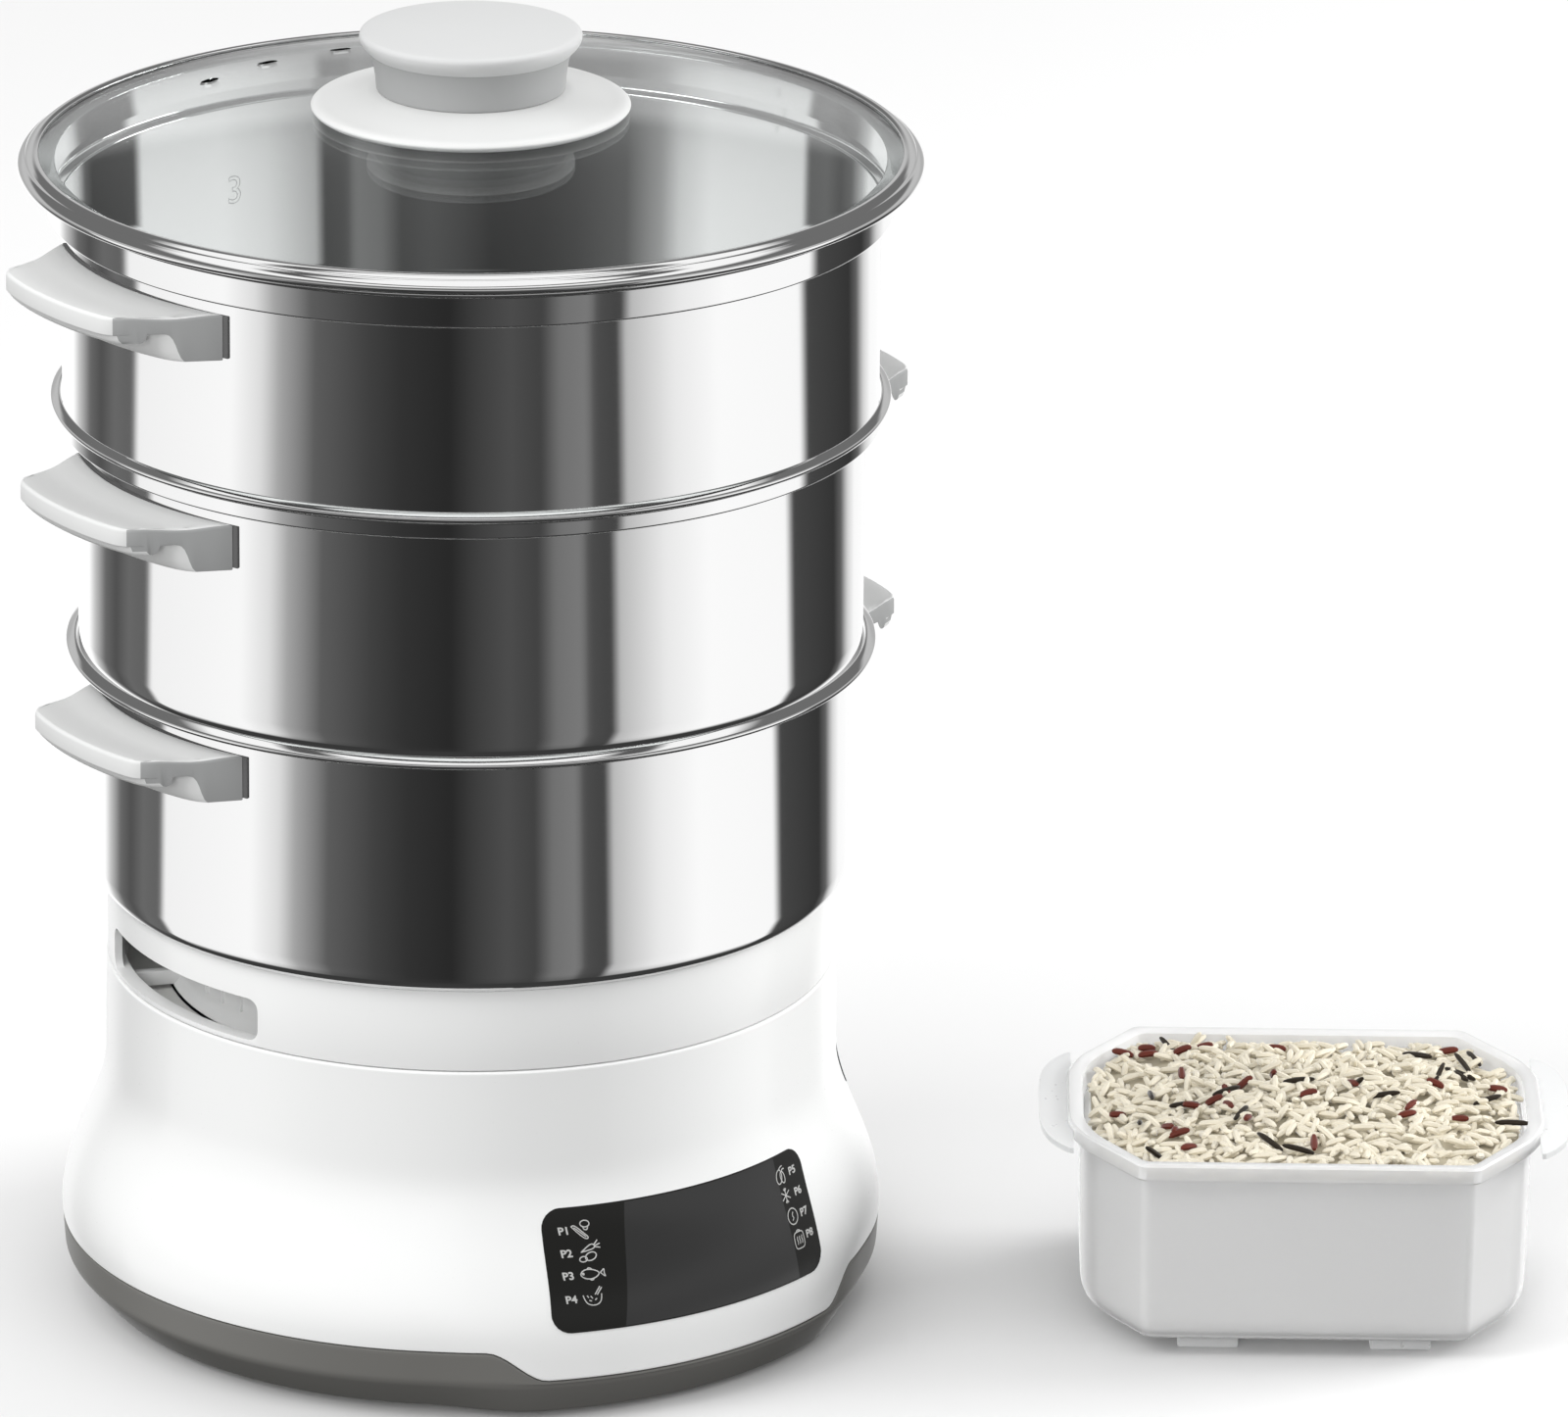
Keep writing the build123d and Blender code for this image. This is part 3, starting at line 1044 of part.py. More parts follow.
parts = {
    "base_housing": make_housing(),
    "bottom_cover": make_bottom_cover(),
    "rubber_feet": make_feet(),
    "base_screws": make_base_screws(),
    "cord_gland": make_gland(),
    "control_panel": make_panel(),
    "water_gauge": make_gauge(),
    "touch_board": make_touch_board(),
    "touch_board_screws": make_touch_screws(),
    "power_board": make_power_board(),
    "power_board_screws": make_board_screws(),
    "terminal_block": box_on(TERMINAL_SIZE, TERMINAL_SPOT, board_top_z),
    "relay": box_on(RELAY_SIZE, RELAY_SPOT, board_top_z),
    "transformer": box_on(TRANSFORMER_SIZE, TRANSFORMER_SPOT, board_top_z),
    "panel_ribbon": make_ribbon(),
    "water_tank": make_tank(),
    "heater_seal": make_heater_seal(),
    "heater_plate": make_heater_plate(),
    "heating_element": make_element(),
    "heater_clamp": make_heater_clamp(),
    "heater_screws": make_heater_screws(),
    "boil_dry_thermostat": make_thermostat(),
    "thermal_fuse": make_fuse(),
    "heater_leads": make_heater_leads(),
    "tray_collar": make_tray_collar(),
    "drip_dish": make_drip_dish(),
    "lid_glass": make_glass(),
    "lid_rim": make_lid_rim(),
    "knob_flange": make_flange(),
    "lid_knob": make_knob(),
    "knob_seal": make_knob_seal(),
    "knob_screw": make_knob_screw(),
    "rice_bowl": make_rice_bowl(),
}
for level, sizes in BOWLS.items():
    wall_r, top_z = sizes["wall_r"], sizes["handle_top_z"]
    parts[f"{level}_bowl"] = make_bowl(**sizes)
    parts[f"{level}_handle_left"] = make_handle(wall_r, top_z, 180)
    parts[f"{level}_handle_right"] = make_handle(wall_r, top_z, 0)
    parts[f"{level}_handle_brackets"] = make_brackets(wall_r, top_z)
    parts[f"{level}_handle_rivets"] = make_rivets(wall_r, top_z)

os.makedirs("parts", exist_ok=True)
for name, shape in parts.items():
    solids = shape if isinstance(shape, list) else [shape]
    export_step(Compound([s for item in solids for s in item.solids()]), f"parts/{name}.step")
print("pieces:", len(parts))
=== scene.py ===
"""Looks of the electric food steamer: smooth pieces, finishes, studio and camera."""

import logging
import math
import random
from dataclasses import dataclass
from enum import Enum

import bmesh
import bpy
from mathutils import Matrix, Vector


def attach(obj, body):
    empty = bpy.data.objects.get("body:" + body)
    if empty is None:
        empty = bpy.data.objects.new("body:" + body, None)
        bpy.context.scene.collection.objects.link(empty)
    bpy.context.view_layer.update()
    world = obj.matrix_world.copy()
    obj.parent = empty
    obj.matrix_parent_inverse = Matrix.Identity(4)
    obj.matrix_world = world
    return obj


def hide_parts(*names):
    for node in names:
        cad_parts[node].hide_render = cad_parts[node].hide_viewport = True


logging.basicConfig(level=logging.INFO, format="%(message)s")
LOG = logging.getLogger("steamer")
MM = 0.001

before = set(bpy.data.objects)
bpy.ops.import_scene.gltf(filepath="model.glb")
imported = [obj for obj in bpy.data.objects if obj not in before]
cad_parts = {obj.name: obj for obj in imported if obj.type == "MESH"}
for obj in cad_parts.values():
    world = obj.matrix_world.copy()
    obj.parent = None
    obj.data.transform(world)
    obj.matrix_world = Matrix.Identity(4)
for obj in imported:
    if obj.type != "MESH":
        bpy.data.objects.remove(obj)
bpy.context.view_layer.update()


def fill(tree: bpy.types.NodeTree, node: bpy.types.Node, inputs: dict) -> None:
    """Sets or links some inputs of a shader node.

    Args:
        tree: The nodes it belongs to.
        node: The node.
        inputs: A value or a socket for each input, by name or number.
    """
    for key, value in inputs.items():
        if isinstance(value, bpy.types.NodeSocket):
            tree.links.new(value, node.inputs[key])
        else:
            node.inputs[key].default_value = value


def add_node(tree: bpy.types.NodeTree, kind: str, inputs: dict | None = None,
             **settings: str) -> bpy.types.Node:
    """Adds a shader node.

    Args:
        tree: The nodes it joins.
        kind: Its kind.
        inputs: A value or a socket for each input, by name or number.
        settings: The node's own settings.

    Returns:
        The node.
    """
    made = tree.nodes.new(f"ShaderNode{kind}")
    for key, value in settings.items():
        setattr(made, key, value)
    fill(tree, made, inputs or {})
    return made


class Grain(Enum):
    """The kinds of fine surface pattern a finish can have."""

    MOULDED = "moulded"
    TURNED = "turned"
    SPECKLED = "speckled"


@dataclass(frozen=True)
class Finish:
    """One surface finish, kept as a node material.

    The colours are linear. The grain size is the width of one mark, in millimetres. The
    cloud scale is the fineness of the slow tint change, in marks per metre.
    """

    name: str
    colour: tuple[float, float, float]
    metal: float = 0.0
    rough: float = 0.4
    rough_spread: float = 0.06
    tint_spread: float = 0.04
    grain: Grain = Grain.MOULDED
    grain_mm: float = 1.2
    bump: float = 0.05
    clear: float = 0.0
    ior: float = 1.46
    coat: float = 0.0
    coat_rough: float = 0.08
    cloud_scale: float = 18.0
    relief_mm: float = 0.1

    def material(self) -> bpy.types.Material:
        """Gives the finish's material, and makes it the first time.

        Returns:
            The node material.
        """
        if self.name in bpy.data.materials:
            return bpy.data.materials[self.name]
        made = bpy.data.materials.new(self.name)
        made.use_nodes = True
        tree = made.node_tree
        shader = tree.nodes["Principled BSDF"]
        place = add_node(tree, "TexCoord").outputs["Object"]
        marks = self._marks(tree, place)
        cloud = add_node(tree, "TexNoise", {
            "Scale": self.cloud_scale, "Detail": 3.0, "Vector": place})
        low = tuple(c * (1.0 - self.tint_spread) for c in self.colour)
        high = tuple(min(1.0, c * (1.0 + self.tint_spread * 0.5)) for c in self.colour)
        tint = add_node(tree, "Mix", {
            "A": (*low, 1.0), "B": (*high, 1.0), "Factor": cloud.outputs["Fac"]},
            data_type="RGBA")
        rough = add_node(tree, "MapRange", {
            "To Min": max(0.0, self.rough - self.rough_spread),
            "To Max": self.rough + self.rough_spread, "Value": marks})
        fill(tree, shader, {
            "Metallic": self.metal, "IOR": self.ior, "Transmission Weight": self.clear,
            "Coat Weight": self.coat, "Coat Roughness": self.coat_rough,
            "Base Color": tint.outputs["Result"], "Roughness": rough.outputs["Result"]})
        if self.bump:
            relief = add_node(tree, "Bump", {
                "Strength": self.bump, "Distance": self.relief_mm * MM, "Height": marks})
            fill(tree, shader, {"Normal": relief.outputs["Normal"]})
        made.diffuse_color = (*self.colour, 1.0)
        return made

    def _marks(self, tree: bpy.types.NodeTree, place: bpy.types.NodeSocket) -> bpy.types.NodeSocket:
        """Adds the nodes of the fine pattern.

        Args:
            tree: The material's nodes.
            place: The piece's own coordinates.

        Returns:
            The pattern's value, from 0 to 1.
        """
        scale = 1.0 / (self.grain_mm * MM)
        if self.grain is Grain.SPECKLED:
            cells = add_node(tree, "TexVoronoi", {"Scale": scale, "Vector": place})
            return cells.outputs["Distance"]
        if self.grain is Grain.TURNED:
            stretch = add_node(tree, "Mapping", {"Scale": (0.02, 0.02, 1.0), "Vector": place})
            place = stretch.outputs["Vector"]
        noise = add_node(tree, "TexNoise", {"Scale": scale, "Detail": 2.0, "Vector": place})
        return noise.outputs["Fac"]


class Looks:
    """All the finishes of the steamer."""

    BODY = Finish("satin_white_body", (0.88, 0.885, 0.88), rough=0.30, coat=0.3, bump=0.02,
                  grain_mm=0.6, tint_spread=0.01)
    SKIRT = Finish("warm_grey_skirt", (0.168, 0.165, 0.155), rough=0.42, bump=0.12, grain_mm=0.35)
    FILM = Finish("black_panel_film", (0.014, 0.014, 0.013), rough=0.22, bump=0.0, ior=1.3)
    WINDOW = Finish("smoked_display_window", (0.030, 0.030, 0.030), rough=0.2, bump=0.0,
                    tint_spread=0.10)
    PRINT = Finish("pale_print", (0.50, 0.50, 0.49), rough=0.5, bump=0.0, grain_mm=0.4)
    GAUGE = Finish("smoked_gauge", (0.06, 0.065, 0.07), rough=0.08, coat=0.6, bump=0.0)
    STEEL = Finish("polished_steel", (0.82, 0.82, 0.82), metal=1.0, rough=0.06,
                   rough_spread=0.015, grain=Grain.TURNED, grain_mm=0.35, bump=0.006,
                   tint_spread=0.01)
    STEEL_INSIDE = Finish("satin_steel_inside", (0.74, 0.74, 0.74), metal=1.0, rough=0.16,
                          rough_spread=0.03, grain=Grain.TURNED, grain_mm=0.3, bump=0.02,
                          tint_spread=0.02)
    HANDLE = Finish("soft_grey_handle", (0.74, 0.745, 0.74), rough=0.46, bump=0.08,
                    grain_mm=0.3, tint_spread=0.015)
    # Darker grey for the handles' end faces: painted shade. The ends are the same grey plastic as
    # the handle tops, coloured darker to stand for the shade on them.
    HANDLE_END_SHADE = Finish("grey_handle_end_painted_shade", (0.36, 0.365, 0.365), rough=0.5, bump=0.08,
                        grain_mm=0.3, tint_spread=0.03)
    # Dark grey for the handle brackets: partly their own colour and partly painted shade and
    # painted reflection of the gap behind each handle.
    BRACKET_AND_GAP_SHADE = Finish("dark_grey_bracket_gap_shade", (0.12, 0.12, 0.12), rough=0.5, grain_mm=0.3)
    GLASS = Finish("clear_lid_glass", (0.90, 0.925, 0.92), rough=0.01, rough_spread=0.006,
                   clear=1.0, ior=1.35, bump=0.0, tint_spread=0.01, grain_mm=8.0)
    FLANGE = Finish("white_flange", (0.70, 0.705, 0.70), rough=0.34, coat=0.1, bump=0.04,
                    grain_mm=0.35, tint_spread=0.01)
    KNOB = Finish("soft_grey_knob", (0.60, 0.605, 0.605), rough=0.5, bump=0.08, grain_mm=0.3,
                  tint_spread=0.015)
    # Darker grey for the knob's neck: painted shade. The neck is the same grey plastic as the grip,
    # coloured darker for the shade under the grip's overhang.
    NECK_SHADE = Finish("grey_neck_painted_shade", (0.36, 0.365, 0.365), rough=0.55, bump=0.08, grain_mm=0.3,
                  tint_spread=0.015)
    CLEAR = Finish("clear_rice_bowl", (0.97, 0.97, 0.97), rough=0.14, rough_spread=0.04,
                   clear=0.42, ior=1.3, bump=0.03, grain_mm=6.0, tint_spread=0.01)
    FROSTED = Finish("frosted_tabs", (0.90, 0.905, 0.905), rough=0.3, clear=0.25, ior=1.3,
                     bump=0.03, grain_mm=3.0, tint_spread=0.01)
    RICE_MASS = Finish("rice_against_wall", (0.95, 0.95, 0.94), rough=0.7, bump=0.3,
                       grain=Grain.SPECKLED, grain_mm=3.2, tint_spread=0.05)
    RICE_SHADE = Finish("rice_in_shade", (0.50, 0.45, 0.34), rough=0.7, bump=0.3,
                        grain=Grain.SPECKLED, grain_mm=3.2, tint_spread=0.2)
    RICE = Finish("cream_rice", (0.84, 0.78, 0.64), rough=0.30, bump=0.03, grain_mm=1.6,
                  tint_spread=0.22)
    RED_RICE = Finish("red_rice", (0.15, 0.030, 0.018), rough=0.36, grain_mm=1.6,
                      tint_spread=0.45)
    WILD_RICE = Finish("wild_rice", (0.028, 0.020, 0.012), rough=0.32, grain_mm=1.6,
                       tint_spread=0.5)
    RUBBER = Finish("black_rubber", (0.025, 0.025, 0.025), rough=0.75, grain_mm=0.5, bump=0.2)
    SILICONE = Finish("red_silicone", (0.42, 0.08, 0.05), rough=0.55, grain_mm=0.8)
    ZINC = Finish("zinc_screw", (0.55, 0.55, 0.56), metal=1.0, rough=0.35, grain_mm=0.3)
    BOARD = Finish("green_board", (0.012, 0.10, 0.035), rough=0.32, coat=0.4,
                   grain=Grain.SPECKLED, grain_mm=2.4, tint_spread=0.3)
    BLACK_PART = Finish("black_moulding", (0.02, 0.02, 0.02), rough=0.5, grain_mm=0.5)
    BLUE_PART = Finish("blue_moulding", (0.02, 0.07, 0.25), rough=0.4, grain_mm=0.5)
    COIL = Finish("copper_coil", (0.62, 0.28, 0.12), metal=0.9, rough=0.32,
                  grain=Grain.TURNED, grain_mm=0.6, bump=0.5)
    RIBBON = Finish("grey_ribbon", (0.45, 0.45, 0.46), rough=0.5, grain_mm=1.2, bump=0.3)
    TANK = Finish("off_white_tank", (0.70, 0.70, 0.68), rough=0.4, grain_mm=0.7)
    DISH = Finish("white_drip_dish", (0.84, 0.845, 0.84), rough=0.42, bump=0.06, grain_mm=0.4)
    HOTPLATE = Finish("brushed_hotplate", (0.6, 0.6, 0.59), metal=1.0, rough=0.3,
                      grain=Grain.TURNED, grain_mm=0.3, bump=0.2)
    ELEMENT = Finish("dark_element", (0.25, 0.23, 0.21), metal=1.0, rough=0.45, grain_mm=0.8,
                     tint_spread=0.3)
    CLAMP = Finish("cast_clamp", (0.68, 0.68, 0.69), metal=1.0, rough=0.42,
                   grain=Grain.SPECKLED, grain_mm=0.7, bump=0.3)
    CERAMIC = Finish("white_ceramic", (0.8, 0.79, 0.75), rough=0.2, grain_mm=0.8)
    SLEEVE = Finish("white_sleeve", (0.74, 0.74, 0.72), rough=0.55, grain_mm=0.5, bump=0.2)


INNER_NODES = {
    "rubber_feet": Looks.RUBBER, "base_screws": Looks.ZINC, "cord_gland": Looks.RUBBER,
    "touch_board": Looks.BOARD, "touch_board_screws": Looks.ZINC, "power_board": Looks.BOARD,
    "power_board_screws": Looks.ZINC, "terminal_block": Looks.BLACK_PART,
    "relay": Looks.BLUE_PART, "transformer": Looks.COIL, "panel_ribbon": Looks.RIBBON,
    "water_tank": Looks.TANK, "heater_seal": Looks.SILICONE, "heater_plate": Looks.HOTPLATE,
    "heating_element": Looks.ELEMENT, "heater_clamp": Looks.CLAMP,
    "heater_screws": Looks.ZINC, "boil_dry_thermostat": Looks.BLACK_PART,
    "thermal_fuse": Looks.CERAMIC, "heater_leads": Looks.SLEEVE, "knob_seal": Looks.SILICONE,
    "knob_screw": Looks.ZINC,
}

Corner = tuple[float, float, float]


def placed(name: str, bm: bmesh.types.BMesh) -> bpy.types.Object:
    """Puts a mesh in the making into the scene as an object.

    Args:
        name: The object's name.
        bm: The mesh in the making, which is freed.

    Returns:
        The object.
    """
    mesh = bpy.data.meshes.new(name)
    bm.to_mesh(mesh)
    bm.free()
    made = bpy.data.objects.new(name, mesh)
    bpy.context.scene.collection.objects.link(made)
    return made


def shade(mesh: bpy.types.Mesh, crisp_deg: float) -> None:
    """Shades a mesh smoothly, except over its sharp edges.

    Args:
        mesh: The mesh.
        crisp_deg: Edges sharper than this stay crisp.
    """
    for face in mesh.polygons:
        face.use_smooth = True
    mesh.set_sharp_from_angle(angle=math.radians(crisp_deg))


def ease_edges(bm: bmesh.types.BMesh, edges: list, ease: float, segments: int) -> None:
    """Rounds some edges.

    Args:
        bm: The mesh.
        edges: The edges.
        ease: Width of the rounding, in millimetres.
        segments: Facets across it.
    """
    bmesh.ops.bevel(bm, geom=edges, offset=ease * MM, affect="EDGES", segments=segments,
                    profile=0.5, material=-1)


def thicken(bm: bmesh.types.BMesh, by: Corner) -> None:
    """Makes a closed body from an open sheet.

    Args:
        bm: The sheet.
        by: How far the copy of the sheet lies from it, in metres.
    """
    raised = bmesh.ops.extrude_face_region(bm, geom=bm.faces[:])
    moved = [g for g in raised["geom"] if isinstance(g, bmesh.types.BMVert)]
    bmesh.ops.translate(bm, vec=by, verts=moved)


def box(bm: bmesh.types.BMesh, place: Matrix, size: Corner) -> list[bmesh.types.BMEdge]:
    """Adds a box.

    Args:
        bm: The mesh.
        place: Where its middle stands, in metres.
        size: Its three sides, in millimetres.

    Returns:
        Its edges.
    """
    made = bmesh.ops.create_cube(bm, size=1.0, matrix=(
        place @ Matrix.Diagonal((*(side * MM for side in size), 1.0))))
    return list({e for v in made["verts"] for e in v.link_edges})


def round_axis(radius: float, turn: float, z: float) -> Corner:
    """A place round the steamer's axis.

    Args:
        radius: Distance from the axis.
        turn: Angle from +X, in radians.
        z: Height.

    Returns:
        The place, in metres.
    """
    return radius * math.cos(turn) * MM, radius * math.sin(turn) * MM, z * MM


@dataclass
class Piece:
    """A mesh in the making, with what it rides on and stands for.

    Edges sharper than crisp_deg stay crisp. A piece that is not in_steel stays out of the
    polished walls' reflections. The second finish is for faces with material index 1.
    """

    name: str
    body: str
    slot: str
    finish: Finish
    replaces: tuple[str, ...] = ()
    crisp_deg: float = 35.0
    in_steel: bool = True
    second: Finish | None = None

    def __post_init__(self) -> None:
        """Starts the mesh."""
        self.bm = bmesh.new()

    def outline(self, corners: list[Corner], segments: int = 5) -> None:
        """Draws a closed outline in the XZ plane and eases its corners.

        Args:
            corners: Radius, height and length cut back at each corner, in millimetres.
            segments: Edges in each eased corner.
        """
        points = [self.bm.verts.new((r * MM, 0.0, z * MM)) for r, z, _ in corners]
        self.bm.faces.new(points)
        for cut in sorted({c for _, _, c in corners if c > 0}):
            picked = [p for p, (_, _, c) in zip(points, corners) if c == cut]
            bmesh.ops.bevel(self.bm, geom=picked, offset=cut * MM, offset_type="OFFSET",
                            affect="VERTICES", segments=segments, profile=0.5, material=-1)
        bmesh.ops.delete(self.bm, geom=list(self.bm.faces), context="FACES_ONLY")

    def turn(self, steps: int = 192) -> None:
        """Turns everything drawn so far once round the steamer's axis.

        Args:
            steps: Facets round the turn.
        """
        bmesh.ops.spin(self.bm, geom=self.bm.verts[:] + self.bm.edges[:], cent=(0, 0, 0),
                       axis=(0, 0, 1), dvec=(0, 0, 0), angle=math.tau, steps=steps,
                       use_merge=True)
        bmesh.ops.remove_doubles(self.bm, verts=self.bm.verts[:], dist=0.002 * MM)
        self.face_outward()

    def face_outward(self) -> None:
        """Turns all faces outward."""
        bmesh.ops.recalc_face_normals(self.bm, faces=self.bm.faces[:])

    def finished(self) -> bpy.types.Object:
        """Makes the object, dresses it and ties it to the frame.

        Returns:
            The object.
        """
        made = placed(self.name, self.bm)
        shade(made.data, self.crisp_deg)
        return self.tied(made)

    def tied(self, made: bpy.types.Object) -> bpy.types.Object:
        """Gives an object the piece's finish and body, and hides the CAD nodes it replaces.

        Args:
            made: The object.

        Returns:
            The same object.
        """
        made.data.materials.append(self.finish.material())
        if self.second:
            made.data.materials.append(self.second.material())
        made.visible_glossy = self.in_steel
        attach(made, self.body)
        if self.replaces:
            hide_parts(*self.replaces)
        LOG.info("%s: %d faces on %s", self.name, len(made.data.polygons), self.body)
        return made


def cut_out(target: bpy.types.Object, cutter: Piece) -> None:
    """Cuts one shape out of a finished piece.

    Args:
        target: The piece.
        cutter: The shape to take away, which is removed afterwards.
    """
    tool = placed(cutter.name, cutter.bm)
    change = target.modifiers.new("cut", "BOOLEAN")
    change.operation = "DIFFERENCE"
    change.solver = "EXACT"
    change.object = tool
    graph = bpy.context.evaluated_depsgraph_get()
    result = bpy.data.meshes.new_from_object(target.evaluated_get(graph))
    target.modifiers.remove(change)
    target.data = result
    bpy.data.objects.remove(tool)
    shade(result, 30.0)


def curve_mesh(curve: bpy.types.Curve) -> bpy.types.Mesh:
    """Turns lettering or a drawn curve into a mesh.

    Args:
        curve: The curve.

    Returns:
        The mesh.
    """
    holder = bpy.data.objects.new(curve.name, curve)
    bpy.context.scene.collection.objects.link(holder)
    graph = bpy.context.evaluated_depsgraph_get()
    flat = bpy.data.meshes.new_from_object(holder.evaluated_get(graph))
    bpy.data.objects.remove(holder)
    return flat


def smooth_step(t: float) -> float:
    """Eases a share in and out.

    Args:
        t: The share, held between 0 and 1.

    Returns:
        The eased share.
    """
    t = min(max(t, 0.0), 1.0)
    return t * t * (3.0 - 2.0 * t)


@dataclass
class BaseUnit:
    """The heating base: housing, skirt, touch panel and water gauge. Sizes in millimetres."""

    top_z: float = 104.8
    low_z: float = 2.0
    neck_r: float = 108.7
    shoulder_z: float = 74.0
    shoulder_r: float = 109.3
    belly_z: float = 26.0
    belly_r: float = 122.8
    crease_z: float = 12.5
    crease_r: float = 121.9
    toe_r: float = 112.4
    wall: float = 2.5
    pod_inner_deg: float = 24.0
    pod_outer_deg: float = 41.0
    pod_toe: float = 6.4
    pod_crease: float = 2.8
    pod_belly: float = 1.3
    pod_end_z: float = 58.0
    seam_z: float = 23.0
    seam_dip_z: float = 14.0
    seam_in_x: float = 49.0
    seam_out_x: float = 65.0
    seam_gap: float = 0.35
    wave_end_deg: float = 80.0
    housing_still_z: float = 34.0
    skirt_still_z: float = 13.0
    hub_r: float = 60.0
    rings: int = 27
    panel_w: float = 97.0
    panel_low_z: float = 28.2
    panel_high_z: float = 62.6
    panel_corner: float = 6.0
    panel_taper: float = 0.08
    panel_t: float = 0.6
    panel_proud: float = 0.14
    window_mid_x: float = 6.5
    window_half_w: float = 30.0
    window_lean: float = 1.5
    window_taper: float = 2.0
    window_margin: float = 0.4
    window_proud: float = 0.16
    gauge_deg: float = 66.0
    gauge_w: float = 22.0
    gauge_low_z: float = 56.0
    gauge_high_z: float = 86.0
    gauge_corner: float = 5.0
    gauge_t: float = 1.0
    gauge_proud: float = 0.4
    mark_inset: float = 6.0
    mark_half_w: float = 5.0
    mark_half_h: float = 0.4
    mark_proud: float = 0.45
    corner_cuts: int = 6
    steps: int = 384

    @staticmethod
    def from_front(x: float, y: float) -> float:
        """Angle of a place from the front, in degrees, positive to the right."""
        return math.degrees(math.atan2(x, -y))

    @staticmethod
    def spot(radius: float, deg: float, z: float) -> Corner:
        """A place in metres, from its distance to the axis, angle from the front and height."""
        return round_axis(radius, math.radians(deg - 90.0), z)

    def round_radius(self, z: float) -> float:
        """Radius of the form without the pod.

        Args:
            z: Height.

        Returns:
            The outer radius.
        """
        if z <= self.crease_z:
            t = (z - self.low_z) / (self.crease_z - self.low_z)
            return self.toe_r + (self.crease_r - self.toe_r) * t
        if z <= self.belly_z:
            t = (z - self.crease_z) / (self.belly_z - self.crease_z)
            return self.crease_r + (self.belly_r - self.crease_r) * t
        if z <= self.shoulder_z:
            t = (z - self.belly_z) / (self.shoulder_z - self.belly_z)
            return self.belly_r + (self.shoulder_r - self.belly_r) * smooth_step(t)
        t = (z - self.shoulder_z) / (self.top_z - self.shoulder_z)
        return self.shoulder_r + (self.neck_r - self.shoulder_r) * t

    def form_radius(self, deg: float, z: float) -> float:
        """Radius of the whole form with its pod.

        Args:
            deg: Angle from the front.
            z: Height.

        Returns:
            The outer radius.
        """
        share = smooth_step((self.pod_outer_deg - abs(deg))
                            / (self.pod_outer_deg - self.pod_inner_deg))
        if z <= self.crease_z:
            t = (z - self.low_z) / (self.crease_z - self.low_z)
            bulge = self.pod_toe + (self.pod_crease - self.pod_toe) * t
        elif z <= self.belly_z:
            t = (z - self.crease_z) / (self.belly_z - self.crease_z)
            bulge = self.pod_crease + (self.pod_belly - self.pod_crease) * t
        else:
            t = max(0.0, (self.pod_end_z - z) / (self.pod_end_z - self.belly_z))
            bulge = self.pod_belly * t * t
        return self.round_radius(z) + bulge * share

    def seam(self, deg: float) -> float:
        """Height of the wavy seam.

        Args:
            deg: Angle from the front.

        Returns:
            The height.
        """
        if abs(deg) > self.wave_end_deg:
            return self.seam_z
        x = abs(self.belly_r * math.sin(math.radians(deg)))
        t = smooth_step((x - self.seam_in_x) / (self.seam_out_x - self.seam_in_x))
        return self.seam_dip_z + (self.seam_z - self.seam_dip_z) * t

    def shape(self, piece: Piece, fixed_z: float, free_z: float, drop: float) -> None:
        """Moves a turned mesh onto the form, and its edge onto the seam.

        Args:
            piece: The turned mesh.
            fixed_z: Height at which the seam has no effect.
            free_z: Height of the seam's edge in the turned mesh.
            drop: How far the edge lies under the seam.
        """
        for vert in piece.bm.verts:
            x, y, z = (c / MM for c in vert.co)
            radius = math.hypot(x, y)
            if radius < self.hub_r:
                continue
            deg = self.from_front(x, y)
            inset = self.round_radius(z) - radius
            t = min(max((z - fixed_z) / (free_z - fixed_z), 0.0), 1.0)
            new_z = z + (self.seam(deg) - drop - free_z) * t
            vert.co = self.spot(self.form_radius(deg, new_z) - inset, deg, new_z)

    def on_front(self, x: float, z: float, lift: float) -> Corner:
        """A place on the form, given as seen from the front.

        Args:
            x: Distance to the right of the middle.
            z: Height.
            lift: Distance out from the surface.

        Returns:
            The place, in metres.
        """
        deg = math.degrees(math.asin(x / self.belly_r))
        for _ in range(4):
            radius = self.form_radius(deg, z)
            deg = math.degrees(math.asin(x / radius))
        return self.spot(radius + lift, deg, z)

    def housing(self) -> None:
        """Builds the white housing."""
        step = (self.top_z - self.seam_z - 1.2) / (self.rings - 1)
        levels = [self.seam_z + 0.4 + i * step for i in range(self.rings)]
        outer = [(self.round_radius(z), z, 0.0) for z in levels]
        inner = [(r - self.wall, z, 0.0) for r, z, _ in reversed(outer)]
        rim = [(self.neck_r, self.top_z, 0.7), (self.neck_r - self.wall, self.top_z, 0.7)]
        foot_r = self.round_radius(self.seam_z)
        foot = [(foot_r - self.wall, self.seam_z, 0.3), (foot_r, self.seam_z, 0.3)]
        piece = Piece("housing_shell", "base", "white_body", Looks.BODY, ("base_housing",))
        piece.outline(outer + rim + inner + foot, segments=3)
        piece.turn(self.steps)
        self.shape(piece, self.housing_still_z, self.seam_z, 0.0)
        piece.finished()

